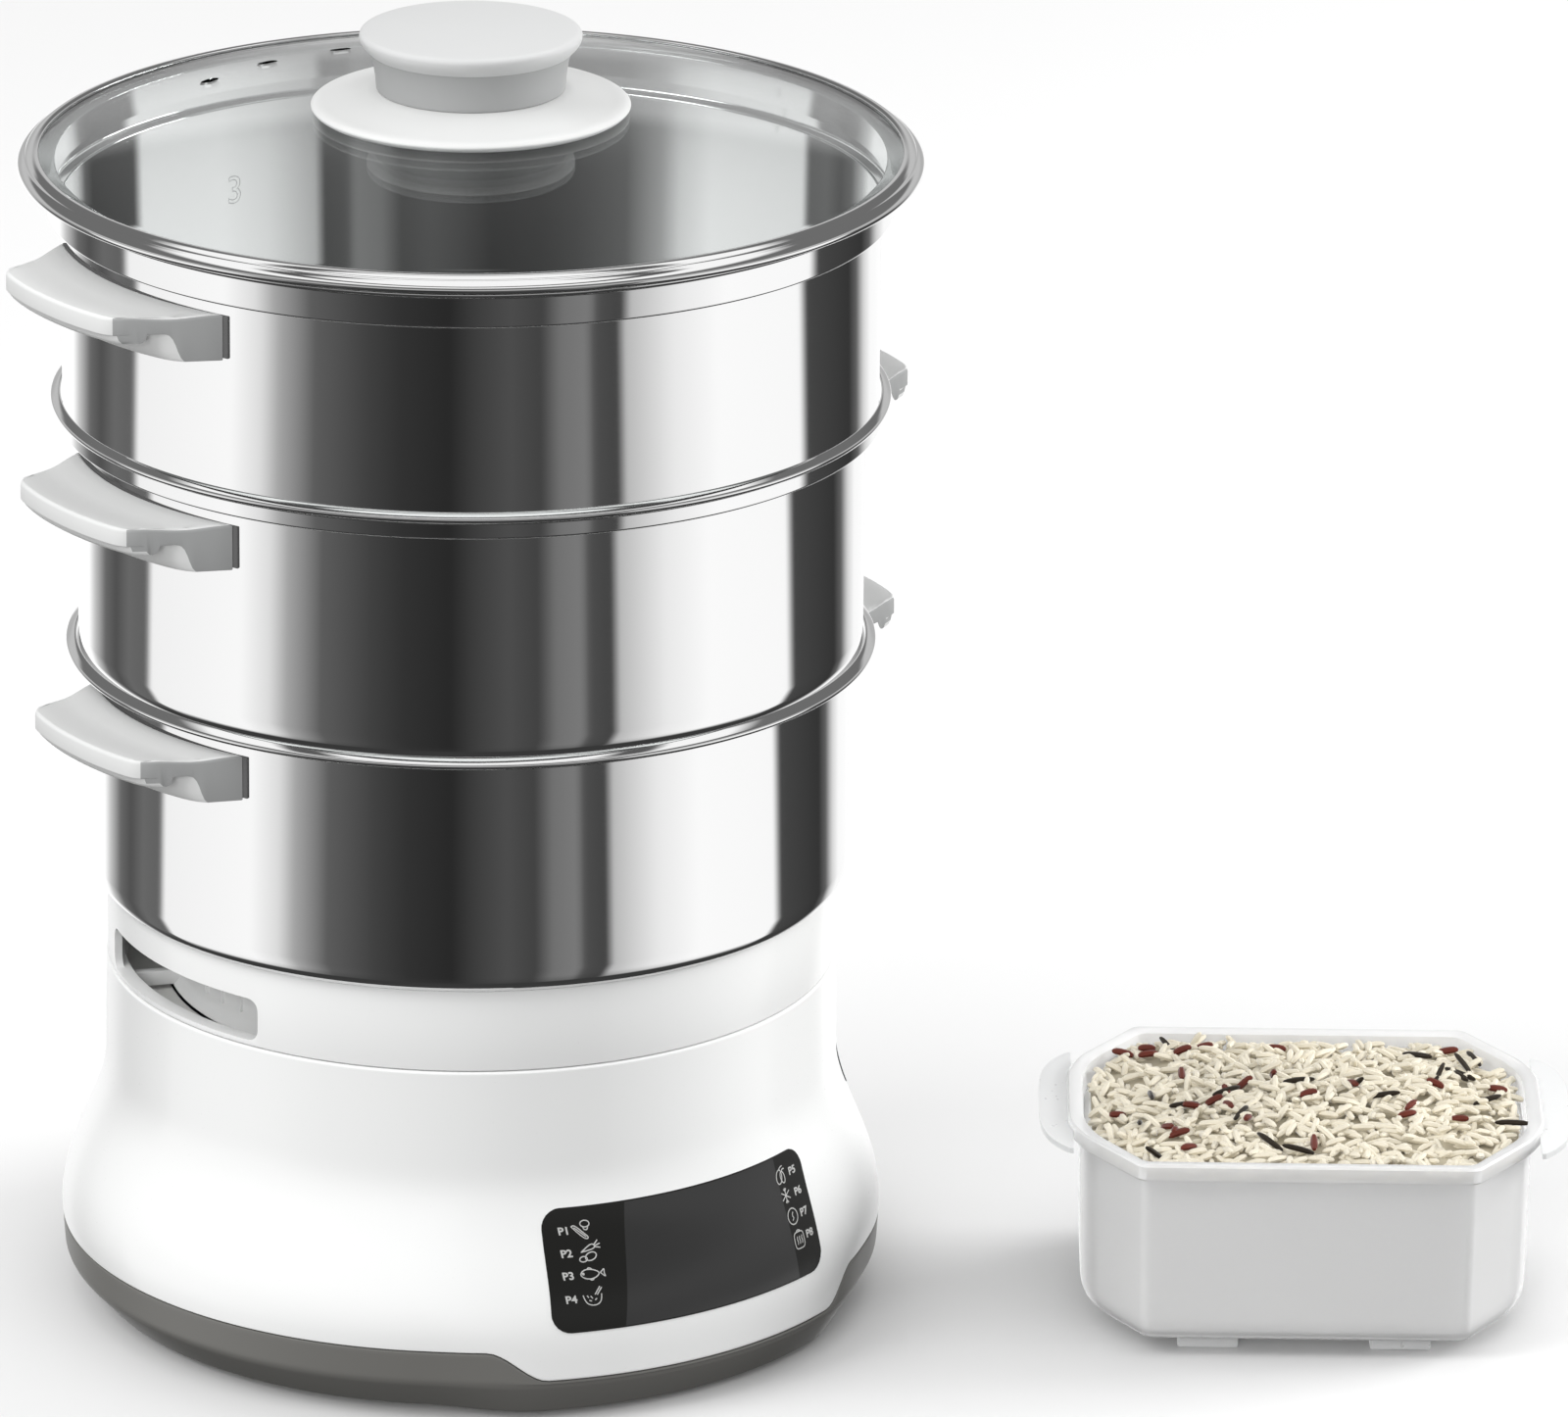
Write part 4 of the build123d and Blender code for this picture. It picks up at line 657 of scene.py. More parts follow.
    def skirt(self) -> None:
        """Builds the grey bottom cover with its wavy upper edge."""
        top = self.seam_z - self.seam_gap
        outer = [(self.round_radius(z), z, 0.0) for z in (15.0, 17.0, 19.0, 21.0)]
        inner = [(r - self.wall, z, 0.0) for r, z, _ in reversed(outer)]
        corners = [(0.0, self.low_z, 0.0), (self.toe_r, self.low_z, 1.4),
                   (self.crease_r, self.crease_z, 1.6)] + outer
        corners += [(self.round_radius(top), top, 0.4),
                    (self.round_radius(top) - self.wall, top, 0.4)] + inner
        corners += [(self.crease_r - self.wall, self.crease_z, 0.0),
                    (self.toe_r, self.low_z + self.wall, 0.0), (0.0, self.low_z + self.wall, 0.0)]
        piece = Piece("skirt_shell", "base", "grey_skirt", Looks.SKIRT, ("bottom_cover",))
        piece.outline(corners, segments=4)
        piece.turn(self.steps)
        self.shape(piece, self.skirt_still_z, top, self.seam_gap)
        piece.finished()

    def patch(self, piece: Piece, size: tuple[float, float], corner: float, cells: tuple[int, int],
              thick: float) -> None:
        """Makes a flat rounded rectangle of small cells, standing in the XZ plane.

        Args:
            piece: The mesh.
            size: Width and height.
            corner: Radius of the corners.
            cells: Cells across and up.
            thick: Thickness towards +Y.
        """
        half_w, half_h = size[0] / 2, size[1] / 2
        bmesh.ops.create_grid(piece.bm, x_segments=cells[0], y_segments=cells[1], size=1.0)
        bmesh.ops.scale(piece.bm, vec=(half_w * MM, half_h * MM, 1), verts=piece.bm.verts[:])
        for side_x in (-1, 1):
            for side_y in (-1, 1):
                centre = Vector((side_x * (half_w - corner), side_y * (half_h - corner), 0)) * MM
                for i in range(self.corner_cuts):
                    turn = math.radians((i + 0.5) * 90.0 / self.corner_cuts)
                    out = Vector((side_x * math.cos(turn), side_y * math.sin(turn), 0))
                    bmesh.ops.bisect_plane(
                        piece.bm, geom=piece.bm.verts[:] + piece.bm.edges[:] + piece.bm.faces[:],
                        plane_co=centre + out * corner * MM, plane_no=out, clear_outer=True)
        turned = Matrix.Rotation(math.radians(90), 4, "X")
        bmesh.ops.transform(piece.bm, matrix=turned, verts=piece.bm.verts[:])
        thicken(piece.bm, (0, thick * MM, 0))

    def panel(self) -> None:
        """Builds the black touch panel, wrapped on the front."""
        mid_z = (self.panel_low_z + self.panel_high_z) / 2
        height = self.panel_high_z - self.panel_low_z
        piece = Piece("touch_panel", "base", "panel_film", Looks.FILM, ("control_panel",))
        self.patch(piece, (self.panel_w, height), self.panel_corner, (72, 26), self.panel_t)
        for vert in piece.bm.verts:
            x, depth, z = (c / MM for c in vert.co)
            if x < 0:
                x *= 1.0 - self.panel_taper * (z / height + 0.5)
            vert.co = self.on_front(x, z + mid_z, self.panel_proud - depth)
        piece.face_outward()
        piece.finished()
        window = Piece("display_window", "base", "panel_film", Looks.WINDOW)
        bmesh.ops.create_grid(window.bm, x_segments=48, y_segments=20, size=1.0)
        for vert in window.bm.verts:
            u, v = vert.co.x, vert.co.y
            half_w = self.window_half_w - self.window_taper * v
            x = self.window_mid_x + self.window_lean * v + half_w * u
            z = mid_z + v * (height / 2 - self.window_margin)
            vert.co = self.on_front(x, z, self.window_proud)
        window.face_outward()
        window.finished()

    def gauge(self) -> None:
        """Builds the water gauge with its two level marks."""
        mid_z = (self.gauge_low_z + self.gauge_high_z) / 2
        height = self.gauge_high_z - self.gauge_low_z
        piece = Piece("gauge_pane", "base", "gauge_clear", Looks.GAUGE, ("water_gauge",))
        self.patch(piece, (self.gauge_w, height), self.gauge_corner, (18, 18), self.gauge_t)
        marks = Piece("gauge_marks", "base", "white_body", Looks.PRINT)
        for z in (self.gauge_low_z + self.mark_inset, self.gauge_high_z - self.mark_inset):
            bmesh.ops.create_grid(marks.bm, x_segments=8, y_segments=1, size=1.0, matrix=(
                Matrix.Translation((0, 0, (z - mid_z) * MM))
                @ Matrix.Rotation(math.radians(90), 4, "X")
                @ Matrix.Diagonal((self.mark_half_w * MM, self.mark_half_h * MM, 1, 1))))
        for part, proud in ((piece, self.gauge_proud), (marks, self.mark_proud)):
            for vert in part.bm.verts:
                z = vert.co.z / MM + mid_z
                deg = self.gauge_deg + math.degrees(vert.co.x / MM / self.round_radius(z))
                vert.co = self.spot(self.form_radius(deg, z) + proud - vert.co.y / MM, deg, z)
        piece.face_outward()
        piece.finished()
        marks.finished()

    def build(self) -> None:
        """Builds the whole base."""
        self.housing()
        self.skirt()
        self.panel()
        self.gauge()
        PanelPrint(self).build()


@dataclass
class PanelPrint:
    """Programme numbers and plain line drawings on the touch panel."""

    base: BaseUnit
    text_h: float = 2.9
    text_stretch: float = 1.15
    text_bold: float = 0.08
    line: float = 0.16
    line_flat: float = 0.35
    proud: float = 0.18

    def words(self) -> None:
        """Puts the programme numbers on the panel."""
        spots = [(-39.3, 56.1), (-40.0, 50.0), (-41.0, 44.0), (-41.6, 37.6),
                 (43.4, 56.7), (43.9, 50.9), (44.2, 45.1), (44.6, 39.1)]
        for i, (x, z) in enumerate(spots):
            curve = bpy.data.curves.new(f"programme_{i + 1}", "FONT")
            curve.body = f"P{i + 1}"
            curve.size = self.text_h * MM
            curve.align_x = "CENTER"
            curve.align_y = "CENTER"
            curve.offset = self.text_bold * MM
            curve.resolution_u = 3
            piece = Piece(f"programme_{i + 1}", "base", "panel_film", Looks.PRINT)
            piece.bm.from_mesh(curve_mesh(curve))
            bmesh.ops.scale(piece.bm, vec=(self.text_stretch, 1, 1), verts=piece.bm.verts[:])
            self.wrap(piece, x, z)

    def wrap(self, piece: Piece, x: float, z: float) -> None:
        """Lays flat print on the panel at a place, and finishes it.

        Args:
            piece: Flat print drawn in the XY plane, in metres.
            x: Place across the front.
            z: Height.
        """
        for vert in piece.bm.verts:
            vert.co = self.base.on_front(vert.co.x / MM + x, vert.co.y / MM + z,
                                         self.proud + vert.co.z / MM)
        piece.finished()

    def drawing(self, name: str, strokes: list[list[tuple[float, float]]], x: float, z: float,
                closed: set[int]) -> None:
        """Draws one small pictogram from its strokes.

        Args:
            name: The piece's name.
            strokes: Points of each stroke, in millimetres about the middle.
            x: Place across the front.
            z: Height.
            closed: Numbers of the strokes that close on themselves.
        """
        curve = bpy.data.curves.new(name, "CURVE")
        curve.dimensions = "3D"
        curve.bevel_depth = self.line * MM
        curve.bevel_resolution = 1
        curve.resolution_u = 5
        for i, points in enumerate(strokes):
            spline = curve.splines.new("NURBS" if len(points) > 2 else "POLY")
            spline.points.add(len(points) - 1)
            for spot, (px, pz) in zip(spline.points, points):
                spot.co = (px * MM, pz * MM, 0.0, 1.0)
            spline.order_u = min(3, len(points))
            spline.use_endpoint_u = i not in closed
            spline.use_cyclic_u = i in closed
        piece = Piece(name, "base", "panel_film", Looks.PRINT)
        piece.bm.from_mesh(curve_mesh(curve))
        bmesh.ops.scale(piece.bm, vec=(1, 1, self.line_flat), verts=piece.bm.verts[:])
        self.wrap(piece, x, z)

    @staticmethod
    def ring(cx: float, cz: float, rx: float, rz: float, count: int = 10,
             lean: float = 0.0) -> list[tuple[float, float]]:
        """Points of an oval stroke.

        Args:
            cx: Middle, across.
            cz: Middle, up.
            rx: Half width.
            rz: Half height.
            count: Points.
            lean: Turn, in degrees.

        Returns:
            The points.
        """
        c, s = math.cos(math.radians(lean)), math.sin(math.radians(lean))
        out = []
        for i in range(count):
            a = math.tau * i / count
            u, v = rx * math.cos(a) * 1.06, rz * math.sin(a) * 1.06
            out.append((cx + u * c - v * s, cz + u * s + v * c))
        return out

    def build(self) -> None:
        """Builds all the print."""
        self.words()
        ring = self.ring
        self.drawing("mark_greens", [
            ring(0.9, 1.4, 1.3, 0.9), [(0.2, 0.6), (0.3, -0.3), (1.5, -0.3), (1.6, 0.6)],
            [(-3.1, 0.9), (-2.2, 1.3), (0.2, -1.2), (1.4, -2.4), (0.4, -2.9), (-1.4, -1.2),
             (-3.1, 0.9)],
            [(-2.4, 0.6), (0.6, -2.2)]], -33.9, 56.3, {0, 2})
        self.drawing("mark_roots", [
            ring(-2.0, -1.9, 1.1, 0.7, lean=10), ring(0.3, -1.3, 1.7, 1.0, lean=20),
            [(-2.2, 0.0), (1.2, 2.2), (2.2, 1.4), (1.6, 0.6), (-2.2, 0.0)],
            [(1.9, 1.7), (3.2, 2.9)], [(2.1, 1.4), (3.7, 1.9)], [(2.0, 1.1), (3.6, 0.8)]],
            -33.6, 50.1, {0, 1, 2})
        self.drawing("mark_fish", [
            [(-3.6, 0.0), (-2.0, 1.4), (0.6, 1.2), (2.6, 0.1), (0.6, -1.3), (-2.0, -1.3)],
            [(2.5, 0.1), (3.9, 1.3), (3.5, 0.0), (3.9, -1.3), (2.5, 0.1)],
            [(-1.2, 1.3), (-0.6, 2.1), (0.3, 1.2)], [(-0.9, -1.3), (-0.4, -2.0), (0.3, -1.3)],
            ring(-2.5, 0.2, 0.25, 0.25, 6)], -34.2, 44.1, {0, 1, 4})
        self.drawing("mark_rice", [
            [(-2.7, 0.6), (-2.4, -1.4), (-0.9, -2.4), (0.9, -2.4), (2.4, -1.4), (2.7, 0.6)],
            [(0.8, 0.5), (2.6, 2.6)], [(1.4, 0.4), (3.1, 2.3)],
            [(-1.6, 0.4), (-1.2, -0.2)], [(-0.6, 0.2), (-0.1, -0.5)], [(-1.2, -1.0), (-0.5, -1.2)],
            [(0.5, -1.0), (1.1, -0.6)]], -35.4, 38.0, set())
        self.drawing("mark_fruit", [
            ring(-0.6, -0.4, 1.2, 1.9, lean=-15), ring(0.9, -0.8, 0.9, 1.6, lean=10),
            [(-0.2, 1.5), (0.5, 2.2), (1.5, 2.2)], [(0.9, 0.8), (1.4, 1.6), (2.2, 1.2)]],
            37.7, 57.0, {0, 1})
        self.drawing("mark_frost", [
            [(0.0, -2.1), (0.0, 2.1)], [(-1.8, -1.05), (1.8, 1.05)], [(-1.8, 1.05), (1.8, -1.05)],
            [(-0.6, 1.9), (0.0, 1.2)], [(0.6, 1.9), (0.0, 1.2)], [(-0.6, -1.9), (0.0, -1.2)],
            [(0.6, -1.9), (0.0, -1.2)]], 38.2, 51.2, set())
        self.drawing("mark_warm", [
            ring(0.0, 0.0, 2.1, 2.1, 12), [(-0.4, -1.1), (0.5, -0.5), (-0.4, 0.3), (0.4, 1.1)],
            ], 39.0, 45.3, {0})
        self.drawing("mark_steam", [
            [(-2.0, -2.2), (-2.2, 0.0), (-2.0, 2.2), (0.0, 2.3), (2.0, 2.2), (2.2, 0.0),
             (2.0, -2.2), (0.0, -2.3)],
            [(-1.0, -1.1), (-0.6, -0.3), (-1.1, 0.3), (-0.7, 1.1)],
            [(0.0, -1.1), (0.4, -0.3), (-0.1, 0.3), (0.3, 1.1)],
            [(1.0, -1.1), (1.4, -0.3), (0.9, 0.3), (1.3, 1.1)],
            [(-0.8, 2.5), (0.0, 3.0), (0.8, 2.5)]], 39.6, 38.6, {0})


@dataclass
class DripTray:
    """The white collar with its two filler slots, and the drip dish inside it."""

    collar_r: float = 108.3
    collar_wall: float = 2.4
    low_z: float = 105.1
    top_z: float = 130.0
    spigot_r: float = 105.7
    spigot_in_r: float = 103.5
    spigot_low_z: float = 98.0
    slot_low_z: float = 106.8
    slot_high_z: float = 119.7
    slot_half_w: float = 38.8
    slot_corner: float = 3.5
    slot_mid_x: float = 101.0
    slot_depth: float = 20.0
    dish_r: float = 88.0
    dish_foot_r: float = 90.4
    dish_wall: float = 2.0
    dish_low_z: float = 98.6
    dish_top_z: float = 121.0
    spokes: int = 8
    spoke_w: float = 3.0
    spoke_low_z: float = 99.2
    spoke_high_z: float = 103.6
    tick_w: float = 1.0
    tick_low_z: float = 104.5
    tick_high_z: float = 110.5
    tick_step_deg: float = 6.0

    def slot_block(self, side: int) -> Piece:
        """Makes the shape of one filler slot.

        Args:
            side: 1 for the right, -1 for the left.

        Returns:
            The shape, to be cut away.
        """
        block = Piece("slot_block", "tray", "white_body", Looks.BODY)
        height = self.slot_high_z - self.slot_low_z
        middle = Vector((side * self.slot_mid_x, 0, self.slot_low_z + height / 2)) * MM
        edges = box(block.bm, Matrix.Translation(middle),
                    (self.slot_depth, 2 * self.slot_half_w, height))
        along = [e for e in edges
                 if abs(e.verts[0].co.x - e.verts[1].co.x) > self.slot_depth / 2 * MM]
        ease_edges(block.bm, along, self.slot_corner, 6)
        return block

    def build(self) -> None:
        """Builds the collar and the dish."""
        inner = self.collar_r - self.collar_wall
        collar = Piece("tray_collar", "tray", "white_body", Looks.BODY, ("tray_collar",))
        collar.outline([
            (self.collar_r, self.low_z, 0.5), (self.collar_r, self.top_z, 0.7),
            (inner, self.top_z, 0.5), (inner, self.slot_low_z, 0.4),
            (self.spigot_in_r, self.slot_low_z, 0.4), (self.spigot_in_r, self.spigot_low_z, 0.4),
            (self.spigot_r, self.spigot_low_z, 0.4), (self.spigot_r, self.low_z, 0.0)],
            segments=3)
        collar.turn(256)
        made = collar.finished()
        for side in (-1, 1):
            cut_out(made, self.slot_block(side))
        dish = Piece("drip_dish_cup", "tray", "white_body", Looks.DISH, ("drip_dish",))
        wall = self.dish_r - self.dish_wall
        dish.outline([
            (0.0, self.dish_low_z, 0.0), (self.dish_foot_r, self.dish_low_z, 0.3),
            (self.dish_foot_r, self.dish_low_z + 0.8, 0.3),
            (self.dish_r, self.dish_low_z + 3.0, 1.5),
            (self.dish_r, self.dish_top_z, 0.8), (wall, self.dish_top_z, 0.8),
            (wall, self.dish_low_z + self.dish_wall, 2.0),
            (0.0, self.dish_low_z + self.dish_wall, 0.0)])
        dish.turn(160)
        dish.finished()
        ribs = Piece("drip_dish_spokes", "tray", "white_body", Looks.DISH)
        for i in range(self.spokes):
            deg = 180.0 / self.spokes + i * 360.0 / self.spokes
            self.bar(ribs, deg, self.dish_r - 0.8, self.spigot_in_r + 0.8, self.spoke_w,
                     self.spoke_low_z, self.spoke_high_z)
        for side in (0, 180):
            for step in (-1, 0, 1):
                self.bar(ribs, side + step * self.tick_step_deg, self.dish_r - 0.5,
                         self.dish_r + 1.0, self.tick_w, self.tick_low_z, self.tick_high_z)
        ribs.face_outward()
        ribs.finished()

    @staticmethod
    def bar(piece: Piece, deg: float, near: float, far: float, width: float, low: float,
            high: float) -> None:
        """Adds one straight rib with eased edges, pointing away from the axis.

        Args:
            piece: The mesh.
            deg: Direction from +X.
            near: Distance of its inner end.
            far: Distance of its outer end.
            width: Width.
            low: Lower face.
            high: Upper face.
        """
        middle = Vector(((near + far) / 2, 0, (low + high) / 2)) * MM
        place = Matrix.Rotation(math.radians(deg), 4, "Z") @ Matrix.Translation(middle)
        edges = box(piece.bm, place, (far - near, width, high - low))
        ease_edges(piece.bm, edges, 0.2, 2)


@dataclass
class SteamBowl:
    """One steel bowl with its two handles. Sizes in millimetres."""

    level: str
    number: str
    wall_r: float
    seat_z: float
    foot_r: float
    band_r: float
    band_low_z: float
    lip_r: float
    lip_top_z: float
    lip_edge_z: float
    handle_top_z: float
    sheet: float = 0.8
    foot_depth: float = 5.0
    shoulder_drop: float = 3.6
    shoulder_h: float = 7.0
    hole_r: float = 2.0
    hole_step: float = 18.0
    hole_rings: int = 5
    bracket_near: float = 0.3
    bracket_far: float = 1.55
    bracket_deg: float = 21.3
    rivet_deg: float = 9.0
    rivet_r: float = 2.0
    rivet_reach: float = 7.5
    rivet_drop: float = 8.5
    bracket_top_drop: float = 0.8
    bracket_low_drop: float = 13.4
    metal_ease: float = 0.3
    stamp_size: float = 12.0
    stamp_line: float = 0.14
    stamp_rise: float = 37.5
    stamp_deg: float = 92.5

    @property
    def body(self) -> str:
        """Name of the frame's body that this bowl moves with."""
        return f"{self.level}_steamer"

    def shell(self) -> None:
        """Builds the drawn steel wall with its foot, band and rolled lip."""
        t = self.sheet
        floor_z = self.seat_z - self.foot_depth
        ring_r = self.hole_step * self.hole_rings + 6.0
        corners = [
            (ring_r, floor_z, 0.0), (self.foot_r, floor_z, 1.6),
            (self.foot_r, self.seat_z, 0.5),
            (self.wall_r - self.shoulder_drop * 0.1, self.seat_z, self.shoulder_drop),
            (self.wall_r, self.seat_z + self.shoulder_h, 0.0),
            (self.wall_r, self.band_low_z, 0.5), (self.band_r, self.band_low_z, 0.7),
            (self.band_r, self.lip_edge_z - 1.6, 0.8),
            (self.lip_r - 0.5, self.lip_edge_z - 1.4, 0.5),
            (self.lip_r, self.lip_edge_z, 0.7), (self.band_r + 0.2, self.lip_top_z, 0.9),
            (self.band_r - t, self.lip_top_z, 0.5), (self.band_r - t, self.band_low_z + t, 0.8),
            (self.wall_r - t, self.band_low_z + t, 0.6),
            (self.wall_r - t, self.seat_z + self.shoulder_h, 0.0),
            (self.wall_r - self.shoulder_drop * 0.1 - t, self.seat_z + t, self.shoulder_drop),
            (self.foot_r - t, self.seat_z + t, 0.6), (self.foot_r - t, floor_z + t, 1.2),
            (ring_r, floor_z + t, 0.0)]
        piece = Piece(f"{self.level}_bowl_shell", self.body, "bowl_steel", Looks.STEEL,
                      (f"{self.level}_bowl",), crisp_deg=40.0, in_steel=False)
        piece.outline(corners, segments=5)
        piece.turn(256)
        piece.finished()

    def floor(self) -> None:
        """Builds the perforated floor."""
        curve = bpy.data.curves.new("floor", "CURVE")
        curve.dimensions = "2D"
        curve.fill_mode = "BOTH"
        curve.extrude = self.sheet / 2 * MM
        edge_r = self.hole_step * self.hole_rings + 6.2
        rims = [(0.0, 0.0, edge_r, 96), (0.0, 0.0, self.hole_r, 10)]
        for i in range(1, self.hole_rings + 1):
            for k in range(6 * i):
                turn = math.tau * k / (6 * i)
                rims.append((i * self.hole_step * math.cos(turn),
                             i * self.hole_step * math.sin(turn), self.hole_r, 10))
        for x, y, radius, count in rims:
            spline = curve.splines.new("POLY")
            spline.points.add(count - 1)
            spline.use_cyclic_u = True
            for j, spot in enumerate(spline.points):
                turn = math.tau * j / count
                spot.co = ((x + radius * math.cos(turn)) * MM,
                           (y + radius * math.sin(turn)) * MM, 0.0, 1.0)
        piece = Piece(f"{self.level}_bowl_floor", self.body, "bowl_steel", Looks.STEEL_INSIDE,
                      in_steel=False)
        piece.bm.from_mesh(curve_mesh(curve))
        height = (self.seat_z - self.foot_depth + self.sheet / 2) * MM
        bmesh.ops.translate(piece.bm, vec=(0, 0, height), verts=piece.bm.verts[:])
        bmesh.ops.remove_doubles(piece.bm, verts=piece.bm.verts[:], dist=0.002 * MM)
        piece.finished()

    def stamp(self) -> None:
        """Builds the faint number pressed inside the wall."""
        curve = bpy.data.curves.new("stamp", "FONT")
        curve.body = self.number
        curve.size = self.stamp_size * MM
        curve.align_x = "CENTER"
        curve.align_y = "CENTER"
        curve.fill_mode = "NONE"
        curve.bevel_depth = self.stamp_line * MM
        curve.bevel_resolution = 1
        piece = Piece(f"{self.level}_stamp", self.body, "bowl_steel", Looks.STEEL_INSIDE)
        piece.bm.from_mesh(curve_mesh(curve))
        radius = self.wall_r - self.sheet - 0.02
        for vert in piece.bm.verts:
            turn = math.radians(self.stamp_deg) - vert.co.x / (radius * MM)
            z = self.seat_z + self.stamp_rise + vert.co.y / MM
            depth = radius - abs(vert.co.z) / MM * 0.2
            vert.co = round_axis(depth, turn, z)
        piece.finished()

    def build(self) -> None:
        """Builds the bowl and its handles."""
        self.shell()
        self.floor()
        self.stamp()
        for side in ("left", "right"):
            Handle(self, side).build()
        self.brackets()
        self.rivets()

    def brackets(self) -> None:
        """Builds the curved plates between the wall and the handles. They are real brackets, but
        their dark grey is painted shade and painted reflection: it stands for the shadowed gap
        behind each handle and the handle's reflection in the wall.
        """
        piece = Piece(f"{self.level}_bracket_plates", self.body, "bracket_grey", Looks.BRACKET_AND_GAP_SHADE,
                      (f"{self.level}_handle_brackets",), in_steel=False)
        low = self.handle_top_z - self.bracket_low_drop
        high = self.handle_top_z - self.bracket_top_drop
        for side in (0.0, math.pi):
            made = bmesh.ops.create_grid(piece.bm, x_segments=30, y_segments=4, size=1.0)
            faces = list({f for v in made["verts"] for f in v.link_faces})
            raised = bmesh.ops.extrude_face_region(piece.bm, geom=faces)
            outer = {g for g in raised["geom"] if isinstance(g, bmesh.types.BMVert)}
            for vert in set(made["verts"]) | outer:
                turn = side + math.radians(self.bracket_deg) * vert.co.x
                radius = self.wall_r + (self.bracket_far if vert in outer else self.bracket_near)
                z = (low + high) / 2 + (high - low) / 2 * vert.co.y
                vert.co = round_axis(radius, turn, z)
        piece.face_outward()
        sharp = [e for e in piece.bm.edges
                 if len(e.link_faces) == 2 and e.calc_face_angle(0.0) > math.radians(60)]
        ease_edges(piece.bm, sharp, self.metal_ease, 3)
        piece.finished()

    def rivets(self) -> None:
        """Builds the rivets that hold the handles, flush inside the bowl."""
        piece = Piece(f"{self.level}_rivet_heads", self.body, "rivet_steel", Looks.STEEL_INSIDE,
                      (f"{self.level}_handle_rivets",), in_steel=False)
        near, far = self.wall_r - self.sheet / 2, self.wall_r + self.rivet_reach
        for side in (0, 180):
            for step in (-1, 1):
                place = (Matrix.Rotation(math.radians(side + step * self.rivet_deg), 4, "Z")
                         @ Matrix.Translation((0, 0, (self.handle_top_z - self.rivet_drop) * MM))
                         @ Matrix.Rotation(math.radians(90), 4, "Y"))
                made = bmesh.ops.create_cone(
                    piece.bm, cap_ends=True, segments=28, radius1=self.rivet_r * MM,
                    radius2=self.rivet_r * MM, depth=(far - near) * MM,
                    matrix=place @ Matrix.Translation((0, 0, (near + far) / 2 * MM)))
                rims = [e for e in {e for v in made["verts"] for e in v.link_edges}
                        if e.calc_face_angle(0.0) > math.radians(60)]
                ease_edges(piece.bm, rims, self.metal_ease, 3)
        piece.face_outward()
        piece.finished()


